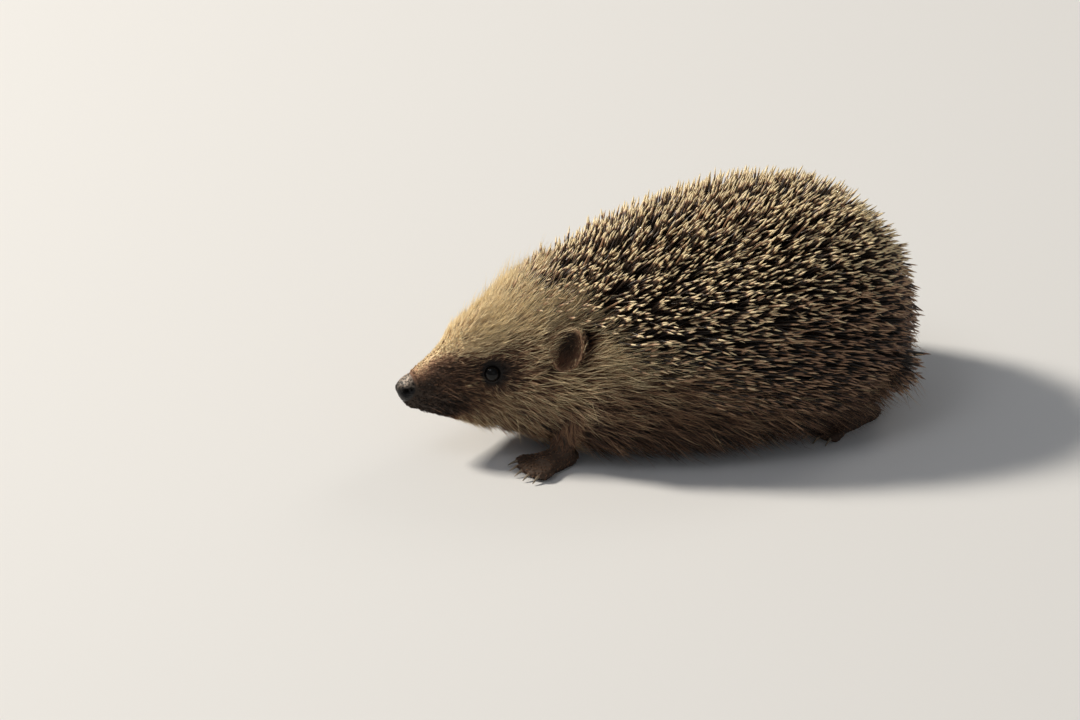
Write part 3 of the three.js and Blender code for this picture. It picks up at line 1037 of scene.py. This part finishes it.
root, upright = scatter(SPINE_SPACING, on_mantle, 21)
upright = unit(upright + 1.5 * off_axis(root))
side, behind, height = in_mm(root)
random = np.random.default_rng(22)
amount = len(root)
sideways = np.sign(root[:, 0])
back = np.stack(
    [
        0.18 * sideways * ramp(upright[:, 2], 0.2, 0.9),
        np.ones(amount),
        -0.15 - 0.35 * ramp(behind, 140, 200) - 0.15 * (1 - ramp(height, 15, 45)),
    ],
    axis=1,
)
on_top = ramp(upright[:, 2], 0.25, 0.9)
crossing = np.clip(random.normal(0, 1, amount), -2, 2) * (11 + 12 * on_top)
lie = turned(tangent(back, upright), upright, crossing)
lift = 27 + 24 * on_top + np.clip(random.normal(0, 1, amount), -1.7, 1.7) * (7 + 7 * on_top)
lift -= (14 + 16 * on_top) * (1 - ramp(behind, 42, 74)) + 8 * ramp(behind, 170, 205)
length = spine_length(behind) * random.uniform(0.86, 1.1, amount) * (1 - 0.2 * on_top) * MM
length *= 1 - 0.3 * (1 - ramp(height, 16, 40)) * ramp(behind, 110, 170) - 0.15 * (1 - ramp(height, 14, 30))
path = strand_paths(
    root - upright * 0.4 * MM,
    leaning(lie, upright, lift + 4),
    leaning(lie, upright, lift - 5),
    length,
    SPINE_STOPS,
    1,
)
# Painted light and shade: the tips are paler on top of the back, as painted light, and darker low on the
# sides and towards the rump, as painted shade; the dark band is a little paler on top too.
shaded = (1 - on_top) * ramp(behind, 90, 170)
shaded = np.maximum(shaded, (1 - ramp(height, 26, 44)) * ramp(behind, 80, 110))
tip_tone = np.clip(random.normal(0.83, 0.1, amount) + 0.27 * on_top - 0.26 * shaded, 0.4, 1.05)
tip_tone -= 0.2 * (1 - ramp(height - mantle_edge(behind), 1, 9)) * (1 - ramp(behind, 60, 90))
dark_tone = np.abs(random.normal(0.05, 0.05, amount)) + 0.04 * on_top
sooner = np.maximum(1 - ramp(length / MM, 11, 18), 0.4 * ramp(upright[:, 2], 0.5, 0.95))
pale_share = (random.random(amount) < 0.04)[:, None]
# The roots are pale in life; the first two stops are given tones of 0.3 and 0.4 as painted shade deep among
# the spines.
tone = np.stack(
    [
        np.full(amount, 0.3),
        np.full(amount, 0.4),
        dark_tone,
        dark_tone * (1 - sooner) + 0.7 * sooner,
        tip_tone - 0.06,
        tip_tone + 0.02,
        tip_tone + 0.06,
    ],
    axis=1,
)
tone = np.where(pale_share, np.maximum(tone, 0.7), tone)
for half, chosen in {"left": root[:, 0] >= 0, "right": root[:, 0] < 0}.items():
    made = strand_mesh(
        f"spines_{half}",
        path[chosen],
        upright[chosen],
        SPINE_RADIUS * (random.uniform(0.85, 1.12, amount) + 0.2 * on_top)[chosen],
        spine_outline,
        spread_on_map(body_unwrap(root[chosen])),
        SPINE_STOPS,
        tone[chosen],
        4,
        spine_look,
    )

# %% [markdown]
# ## The lie of the fur
#
# Fur streams back from the nose, parts round the eyes, rises over the forehead and sinks
# towards the belly. It could be combed by hand, but a few formulas give every hair its length,
# heading and lift, the same on both sides.

# %% Length, heading and lift of hair at a place
EYE_LEVEL = EYE[2] / MM
side_hair = profile({6: 1.1, 12: 1.9, 20: 3.5, 30: 6.4, 38: 9.2, 48: 12.3, 60: 15, 72: 17, 88: 19, 215: 19})
crown_hair = profile({6: 1.2, 12: 2.3, 20: 5.5, 30: 10, 42: 13, 55: 14.5, 70: 15, 215: 15})
start_lift = profile({6: 24, 20: 26, 34: 26, 45: 32, 60: 40, 215: 44})
end_lift = profile({6: 12, 20: 10, 34: 8, 45: 9, 60: 12, 80: 8, 215: 6})


def hanging(points, upright):
    """1 where the skin faces the floor behind the chin, where the hair hangs off it."""
    return ramp(-upright[:, 2], 0, 0.7) * ramp(in_mm(points)[1], 18, 34)


def crown_share(height):
    return ramp(height, EYE_LEVEL + 3, EYE_LEVEL + 12)


def hair_length(points):
    side, behind, height = in_mm(points)
    crown = crown_share(height)
    length = side_hair(behind) * (1 - crown) + crown_hair(behind) * crown
    away = eye_distance(points) - EYE_RADIUS / MM
    return np.minimum(length, 1 + 0.85 * np.maximum(away, 0))


def hair_lie(points, upright):
    side, behind, height = in_mm(points)
    sign = np.sign(points[:, 0])
    rise = np.clip((height - EYE_LEVEL) / 15 * 0.5, -0.42, 0.65) * ramp(behind, 12, 30)
    rise *= 1 - ramp(behind, 58, 76)
    rise -= (0.2 + 0.5 * (1 - ramp(height, 12, 26))) * ramp(behind, 54, 84) * (1 - ramp(height, 16, 45))
    rise -= 1.6 * ramp(behind, 165, 195)
    lie = np.stack([0.12 * sign * ramp(height, 30, 50), np.ones(len(points)), rise], axis=1)
    from_eye = points - sided(np.array(EYE), points)
    around = bell(np.maximum(eye_distance(points) - EYE_RADIUS / MM, 0), 3.2)
    lie += 1.5 * around[:, None] * unit(from_eye)
    return tangent(lie, upright)


# %% A hair may not cross an eye or fill an ear
def blocked(path):
    """How many stops of each strand come before it meets an eye or the hollow of an ear."""
    count, stops, _ = path.shape
    meets = eye_distance(path) < EYE_RADIUS / MM + 0.35
    local = ear_local(path)
    bowl = (local[..., 1] / EAR_HALF_WIDTH) ** 2 + (local[..., 2] / EAR_HALF_HEIGHT) ** 2
    within = (bowl < 0.8) & (local[..., 1] > -0.2 * EAR_HALF_WIDTH)
    meets |= within & (local[..., 0] > -0.9 * EAR_DEPTH) & (local[..., 0] < 1.6 * EAR_DEPTH)
    first = np.where(meets.any(axis=1), np.argmax(meets, axis=1), stops)
    return first


HAIR_BEND = 0.8  # below 1 a hair bends near its root


def tufts(name, roots, upright, lie, length, lift, strands, width, stops, tone, seed, **ways):
    """Tufts of hairs that share a root patch and draw together towards their tips."""
    random = np.random.default_rng(seed)
    amount = len(roots)
    spread = ways.get("spread", 0.55)
    wander = ways.get("wander", 9)
    clump = ways.get("clump", 0.35)
    ragged = ways.get("ragged", 0.3)
    lie = turned(lie, upright, random.normal(0, wander, amount))
    lift_start = lift[0] + random.normal(0, 5, amount)
    lift_end = lift[1] + random.normal(0, 4, amount)
    length = length * random.uniform(0.85, 1.12, amount)
    patch = ways["patch"]

    def each(values):
        return np.repeat(values, strands, axis=0)

    sideways = np.cross(upright, lie)
    radius = np.sqrt(random.random((amount, strands, 1))) * spread * MM
    angle = random.random((amount, strands, 1)) * 2 * math.pi
    offset = radius * (np.cos(angle) * lie[:, None] + np.sin(angle) * sideways[:, None])
    offset = offset.reshape(-1, 3)
    normal = each(upright)
    sunk = each(0.05 + 0.02 * length)[:, None]
    root = each(roots) + offset - normal * sunk * MM
    hair = each(length) * (1 - ragged * random.random(amount * strands)) * MM
    stray = random.normal(0, ways.get("stray", 9), amount * strands)
    own_lie = turned(each(lie), normal, stray)
    kind = random.random(amount * strands)
    dark, pale = kind < ways.get("dark", 0.4), kind > 1 - ways.get("guard", 0.22)
    hair *= np.where(pale, 1.08, 1)
    start = leaning(own_lie, normal, each(lift_start) + random.normal(0, 6, amount * strands) + 3 * pale)
    end = leaning(own_lie, normal, each(lift_end) + random.normal(0, 6, amount * strands) + 3 * pale)
    path = strand_paths(root, start, end, hair, stops, HAIR_BEND)
    free = np.full(len(path), len(stops)) if ways.get("free") else blocked(path)
    share = stops[np.clip(free - 1, 0, len(stops) - 1)]
    keep = share > 0.3
    hair = hair * np.where(share < 1, share * 0.95, 1)
    path = strand_paths(root, start, end, hair, stops, HAIR_BEND)
    drawn = clump * stops[None, :, None] ** 1.3
    path = path - offset[:, None] * drawn
    own = each(tone) + random.normal(0, ways.get("speckle", 0.06), amount * strands)
    own += each(random.normal(0, ways.get("streak", 0.1), amount))
    own += ways.get("contrast", 0.17) * (1.0 * pale - 1.0 * dark)
    # Along each hair the tone is multiplied from root to tip: darker towards the root as painted shade deep
    # in the fur, and paler towards the tip, the hair's own pale tip.
    along = np.interp(stops, [0, 0.35, 0.75, 1], ways.get("shade", [0.42, 0.85, 1.1, 1.22]))
    strand_tone = own[:, None] * along[None]
    thick = width * MM / 2 * random.uniform(0.8, 1.1, amount * strands) * np.where(pale, 1.2, 1)
    return strand_mesh(
        name,
        path[keep],
        normal[keep],
        thick[keep],
        hair_outline,
        each(patch)[keep],
        stops,
        strand_tone[keep],
        3,
        fur_look,
    )


def hair_outline(t):
    return np.interp(t, [0, 0.15, 0.7, 1], [0.8, 1, 0.75, 0.1])


def not_mantle(points):
    side, behind, height = in_mm(points)
    reach = 7 + 3 * ramp(behind, 56, 70)
    return 1 - ramp(height + waves(points, 6, 5) * 1.2, mantle_edge(behind), mantle_edge(behind) + reach)


foot_middles = {
    name: (np.array(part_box(name)[0]) + np.array(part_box(name)[1])) / 2 for name in LIMBS if "foot" in name
}


def underside(points, behind):
    """Half width and depth of the rounded body there, and the place's share of each."""
    side, _, height = in_mm(points)
    top, low, half, level = (np.interp(behind, stations, column) for column in measured.T)
    wide = np.maximum(half - side_depth(behind), 1)
    deep = np.maximum(level - low - low_depth(behind), 1)
    return wide, deep, side / wide, np.maximum(level - height, 0) / deep


def limb_share(points):
    """1 on legs, feet and tail, which stand out of the rounded body, and 0 on the body itself."""
    side, behind, height = in_mm(points)
    behind = behind + RUMP_DEPTH * ramp(behind, 110, body_length - RUMP_DEPTH)
    wide, deep, across_share, down_share = underside(points, behind)
    fullness = lower_full(behind)
    out = (across_share**fullness + down_share**fullness) ** (1 / fullness)
    return ramp(out, 1.02, 1.08) * ramp(behind, 36, 42) * (1 - ramp(height, 24, 30))


def body_normal(points):
    """Headings out of the rounded body, as if it had no limbs."""
    side, behind, height = in_mm(points)
    wide, deep, across_share, down_share = underside(points, behind)
    fullness = lower_full(behind) - 1
    out = np.sign(points[:, 0]) * across_share**fullness / wide
    down = -(down_share**fullness) / deep
    return unit(np.stack([out, np.zeros(len(points)), down], axis=1))


def smoothed(points, upright):
    """Normals of the skin, with those of the rounded body near the limbs."""
    side, behind, height = in_mm(points)
    share = (1 - ramp(height, 22, 32)) * ramp(behind, 32, 42)
    return unit(upright * (1 - share[:, None]) + body_normal(points) * share[:, None])


def bare_nose(points):
    return ramp(pad_distance(points), 1.04, 1.15)


def bare_eye(points):
    return ramp(eye_distance(points), EYE_RADIUS / MM + 0.55, EYE_RADIUS / MM + 1)


# %% [markdown]
# ## Fur of head and body
#
# The face has the shortest and finest hairs and the neck and skirts the longest. One even
# sowing would waste hairs on the back and starve the muzzle, so each region has its own spacing
# and its own joined mesh.

# %% Grow the regions
FACE_END, HEAD_END = 38, 72
FINE_STOPS = np.array([0, 0.5, 1])
MID_STOPS = np.array([0, 0.33, 0.68, 1])
LONG_STOPS = np.array([0, 0.25, 0.5, 0.76, 1])


def region(start, end, low=-5, high=200):
    """Passes places between two distances behind the nose and two heights, off nose and eyes."""

    def keep(points, upright):
        side, behind, height = in_mm(points)
        inside = (behind >= start) & (behind < end) & (height >= low) & (height < high)
        return inside * not_mantle(points) * bare_nose(points) * bare_eye(points) * (1 - limb_share(points))

    return keep


FUR = {
    "muzzle": dict(
        keep=region(0, 20),
        spacing=0.8,
        strands=7,
        width=0.17,
        stops=FINE_STOPS,
        seed=31,
        spread=0.4,
        contrast=0.08,
    ),
    "face": dict(
        keep=region(20, FACE_END),
        spacing=0.86,
        strands=7,
        width=0.15,
        stops=MID_STOPS,
        seed=32,
        spread=0.6,
        wander=8,
        clump=0.25,
        contrast=0.28,
        shade=[0.38, 0.78, 1.08, 1.22],
    ),
    "cheek": dict(
        keep=region(FACE_END, HEAD_END),
        spacing=1.1,
        strands=8,
        width=0.17,
        stops=MID_STOPS,
        seed=33,
        spread=0.8,
        wander=8,
        clump=0.42,
        contrast=0.34,
        shade=[0.3, 0.68, 1.06, 1.27],
    ),
    "flank": dict(
        keep=region(HEAD_END, 230, 13),
        spacing=1.68,
        strands=10,
        width=0.19,
        stops=MID_STOPS,
        seed=34,
        spread=1,
        wander=5,
        stray=7,
        clump=0.45,
        dark=0.58,
        guard=0.16,
        contrast=0.3,
        shade=[0.2, 0.48, 0.92, 1.25],
    ),
    "belly": dict(
        keep=region(HEAD_END, 230, -5, 13),
        spacing=2.3,
        strands=8,
        width=0.28,
        stops=MID_STOPS,
        seed=35,
        spread=1.2,
    ),
}
for name, ways in FUR.items():
    keep, spacing = ways.pop("keep"), ways.pop("spacing")
    roots, upright = scatter(spacing, keep, ways["seed"])
    upright = smoothed(roots, upright)
    side, behind, height = in_mm(roots)
    lie = hair_lie(roots, upright)
    length = hair_length(roots)
    crown = crown_share(height)
    hang = hanging(roots, upright)
    lifts = (start_lift(behind) + 8 * crown + 14 * hang, end_lift(behind) + 12 * crown + 20 * hang)
    tone = coat_tone(roots)
    for half, chosen in {"left": roots[:, 0] >= 0, "right": roots[:, 0] < 0}.items():
        made = tufts(
            f"{name}_fur_{half}",
            roots[chosen],
            upright[chosen],
            lie[chosen],
            length[chosen],
            (lifts[0][chosen], lifts[1][chosen]),
            tone=tone[chosen],
            patch=spread_on_map(body_unwrap(roots[chosen])),
            **ways,
        )

# %% [markdown]
# ## Long hairs over the fur
#
# Paler, longer guard hairs stand out of the fur, and a few stray ones cross the rest. The tufts
# could hold them, but they are sown apart, so that they don't follow the tufts' own pattern.

# %% Scatter longer pale guard hairs over head, neck and flanks
GUARD_SPACING, STRAY_SPACING = 1.45, 4.2


def guarded(points, upright):
    side, behind, height = in_mm(points)
    return region(22, 200, 8)(points, upright) * ramp(behind, 20, 40)


roots, upright = scatter(GUARD_SPACING, guarded, 36)
upright = smoothed(roots, upright)
side, behind, height = in_mm(roots)
hang = hanging(roots, upright)
crown = crown_share(height)
made = tufts(
    "guard_hairs",
    roots,
    upright,
    hair_lie(roots, upright),
    (1.18 + 0.17 * (1 - ramp(behind, 60, 80))) * hair_length(roots),
    (start_lift(behind) + 4 + 8 * crown + 14 * hang, end_lift(behind) + 5 + 18 * crown + 20 * hang),
    tone=np.minimum(coat_tone(roots) + 0.24, 1.1),
    patch=spread_on_map(body_unwrap(roots)),
    strands=2,
    width=0.17,
    stops=MID_STOPS,
    seed=37,
    spread=0.9,
    wander=10,
    stray=13,
    dark=0,
    guard=0,
    shade=[0.5, 0.9, 1.1, 1.15],
)

# %% Add a few long stray hairs that cross the others
def strayed(points, upright):
    return guarded(points, upright) * ramp(in_mm(points)[1], 38, 44)


roots, upright = scatter(STRAY_SPACING, strayed, 51)
upright = smoothed(roots, upright)
side, behind, height = in_mm(roots)
hang = hanging(roots, upright)
made = tufts(
    "stray_hairs",
    roots,
    upright,
    hair_lie(roots, upright),
    (1.1 + 0.4 * (1 - ramp(behind, 60, 85))) * hair_length(roots),
    (start_lift(behind) + 4 + 14 * hang, end_lift(behind) + 8 + 20 * hang),
    tone=np.minimum(coat_tone(roots) + 0.3, 1.1),
    patch=spread_on_map(body_unwrap(roots)),
    strands=2,
    width=0.15,
    stops=LONG_STOPS,
    seed=52,
    spread=1.5,
    wander=16,
    stray=20,
    dark=0,
    guard=0,
    clump=0,
    shade=[0.7, 1, 1.05, 1.1],
)

# %% [markdown]
# ## Legs, ears and whiskers
#
# Legs, feet and ears have short hair of their own lie: down the leg, out to the toes and up to the
# rim of the ear. Each leg or ear has its own corner on the unwrap. Whiskers are single long
# hairs on the upper lip.

# %% Short hair on legs, feet and tail
LEG_SPACING, EAR_SPACING, LINING_SPACING, WHISKER_SPACING = 1.15, 0.95, 1.05, 2.4
limb_places = np.array([*foot_middles.values(), np.mean(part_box("tail"), axis=0)])


def limb_unwrap(points):
    """Each limb has a sixth of the map: round its middle one way, up and outwards the other."""
    apart = points[:, None, :2] - limb_places[None, :, :2]
    nearest = np.argmin(np.linalg.norm(apart, axis=2), axis=1)
    own = apart[np.arange(len(points)), nearest]
    angle = (np.arctan2(own[:, 1], own[:, 0]) / (2 * math.pi)) % 1
    reach = np.clip((points[:, 2] + 0.5 * np.linalg.norm(own, axis=1)) / (38 * MM), 0, 1)
    return np.stack([(nearest % 3 + 0.94 * angle) / 3, (nearest // 3 + 0.94 * reach) / 2], axis=1)


def on_limbs(points, upright):
    return limb_share(points) * ramp(points[:, 2], 1 * MM, 2 * MM) * (upright[:, 2] > -0.7)


roots, upright = scatter(LEG_SPACING, on_limbs, 41)
side, behind, height = in_mm(roots)
on_foot = 1 - ramp(height, 6, 12)
on_tail = ramp(behind, 185, 190)
lie = np.stack([0 * side, 0.3 - 1.2 * on_foot + 2 * on_tail, -1 + 0.7 * on_foot], axis=1)
length = (2.2 + 6 * ramp(height, 7, 22)) * (1 - 0.35 * on_foot)
made = tufts(
    "leg_fur",
    roots,
    upright,
    tangent(lie, upright),
    length,
    (24 + 0 * side, 8 + 0 * side),
    tone=0.47 + 0.12 * ramp(height, 14, 26) + waves(roots, 5, 3) * 0.04,
    patch=spread_on_map(limb_unwrap(roots)),
    strands=6,
    width=0.16,
    stops=FINE_STOPS,
    seed=42,
    spread=0.5,
    dark=0.1,
    guard=0.1,
    contrast=0.06,
    streak=0.03,
    speckle=0.04,
    shade=[0.95, 1, 1.05, 1.1],
)


# %% Hair on the ears
def ear_unwrap(points):
    """Each ear has half the map: round the hollow one way, out from its middle the other."""
    local = ear_local(points) / np.array([EAR_DEPTH, EAR_HALF_WIDTH, EAR_HALF_HEIGHT])
    angle = (np.arctan2(local[:, 2], local[:, 1]) / (2 * math.pi)) % 1
    reach = np.arctan2(np.hypot(local[:, 1], local[:, 2]), -local[:, 0]) / math.pi
    return np.stack([(0.94 * angle + (points[:, 0] < 0)) / 2, np.clip(reach, 0, 1)], axis=1)


def ear_height(points):
    return ear_local(points)[:, 2] / EAR_HALF_HEIGHT


def ear_outside(points, upright):
    local = ear_local(points) / np.array([EAR_DEPTH, EAR_HALF_WIDTH, EAR_HALF_HEIGHT])
    outward = np.sum((sided(upright, points) @ ear_frame.T) * local, axis=1)
    return 1.0 * (outward > 0.05)


def ear_inside(points, upright):
    return 1.0 - ear_outside(points, upright)


roots, upright = scatter(EAR_SPACING, ear_outside, 43, ear_surface)
side_sign = np.sign(roots[:, 0])
ear_up = sided(np.array(EAR_UP), roots)
facing = sided(np.array(EAR_FACING), roots)
made = tufts(
    "ear_fur",
    roots,
    upright,
    tangent(0.8 * ear_up + 0.9 * facing, upright),
    2.4 + 1.1 * ramp(ear_height(roots), -1, 1),
    (24 + 0 * side_sign, 16 + 0 * side_sign),
    tone=0.7 + 0.12 * waves(roots, 4, 8),
    patch=spread_on_map(ear_unwrap(roots)),
    strands=6,
    width=0.17,
    stops=FINE_STOPS,
    seed=44,
    spread=0.4,
    free=True,
)

roots, upright = scatter(LINING_SPACING, ear_inside, 45, ear_surface)
side_sign = np.sign(roots[:, 0])
ear_up = sided(np.array(EAR_UP), roots)
made = tufts(
    "ear_lining",
    roots,
    upright,
    tangent(ear_up + np.array([0, 0.8, 0]), upright),
    2.6 + 0 * side_sign,
    (34 + 0 * side_sign, 24 + 0 * side_sign),
    tone=0.6 + 0.12 * waves(roots, 3, 9),
    patch=spread_on_map(ear_unwrap(roots)),
    strands=3,
    width=0.13,
    stops=FINE_STOPS,
    seed=46,
    spread=0.5,
    free=True,
)


# %% Whiskers
def whisker_pad(points, upright):
    side, behind, height = in_mm(points)
    return ((behind > 8.5) & (behind < 19) & (height > 24) & (height < 34)) * bare_nose(points)


roots, upright = scatter(WHISKER_SPACING, whisker_pad, 47)
side_sign = np.sign(roots[:, 0])
behind = in_mm(roots)[1]
lie = np.stack([0.4 * side_sign, np.ones(len(roots)), -0.25 + 0 * side_sign], axis=1)
made = tufts(
    "whiskers",
    roots,
    upright,
    tangent(lie, upright),
    5 + 0.5 * behind,
    (38 + 0 * side_sign, 16 + 0 * side_sign),
    tone=0.55 + 0.2 * waves(roots, 2, 4),
    patch=spread_on_map(body_unwrap(roots)),
    strands=1,
    width=0.14,
    stops=LONG_STOPS,
    seed=48,
    spread=0.1,
    ragged=0.2,
)

# %% [markdown]
# ## Eyes and claws
#
# The eyes are wet black balls and the claws are horn, pale towards the tip, here streaked at random.
# The solids have the right size but flat faces, so each gets a rounder piece in its place.

# %% Give them their looks
eye_look = look("wet_eye", 0.14, Specular_IOR_Level=0.22)
shader = eye_look.node_tree.nodes["Principled BSDF"]
place = node(eye_look, "ShaderNodeTexCoord")
cloud = node(eye_look, "ShaderNodeTexNoise")
cloud.inputs["Scale"].default_value = 300
link(eye_look, place, "Object", cloud, "Vector")
dark = node(eye_look, "ShaderNodeMix", data_type="RGBA")
dark.inputs["A"].default_value = (0.002, 0.002, 0.002, 1)
dark.inputs["B"].default_value = (0.005, 0.004, 0.0035, 1)
link(eye_look, cloud, "Fac", dark, "Factor")
link(eye_look, dark, "Result", shader, "Base Color")

claw_look = look("horn", 0.35, Specular_IOR_Level=0.5)
shader = claw_look.node_tree.nodes["Principled BSDF"]
place = node(claw_look, "ShaderNodeTexCoord")
streaks = node(claw_look, "ShaderNodeTexNoise")
streaks.inputs["Scale"].default_value = 600
link(claw_look, place, "Object", streaks, "Vector")
horn = node(claw_look, "ShaderNodeMix", data_type="RGBA")
horn.inputs["A"].default_value = (0.10, 0.075, 0.05, 1)
horn.inputs["B"].default_value = (0.3, 0.24, 0.17, 1)
link(claw_look, streaks, "Fac", horn, "Factor")
link(claw_look, horn, "Result", shader, "Base Color")


# %% Round eyes
def new_piece(name, bm, material):
    """A smooth piece from a bmesh, ready to ride on the body."""
    mesh = bpy.data.meshes.new(name)
    bm.to_mesh(mesh)
    bm.free()
    mesh.polygons.foreach_set("use_smooth", np.ones(len(mesh.polygons), bool))
    mesh.materials.append(material)
    piece = bpy.data.objects.new(name, mesh)
    scene.collection.objects.link(piece)
    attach(piece, "root")
    return piece


for half, sign in {"left": 1, "right": -1}.items():
    ball = bmesh.new()
    bmesh.ops.create_uvsphere(ball, u_segments=48, v_segments=32, radius=EYE_RADIUS)
    bmesh.ops.translate(ball, vec=across(EYE, sign), verts=ball.verts)
    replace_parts(new_piece(f"eyeball_{half}", ball, eye_look), f"eye_{half}")

# %% Rounded claws, one piece for each foot
for foot in foot_middles:
    claws = [name for name in CLAWS if name.startswith(foot)]
    horn_bm = bmesh.new()
    for name in claws:
        horn_bm.from_mesh(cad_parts[name].data)
    bmesh.ops.remove_doubles(horn_bm, verts=horn_bm.verts, dist=1e-6)
    piece = new_piece(f"{foot}_claws", horn_bm, claw_look)
    applied(piece, ("SUBSURF", {"levels": 2, "render_levels": 2}))
    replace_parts(piece, *claws)
print(f"{len(foot_middles)} feet with {len(CLAWS)} claws")

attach(skin, "root")
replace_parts(skin, *BODY_NODES, *LIMBS, "tail", "ear_left", "ear_right")
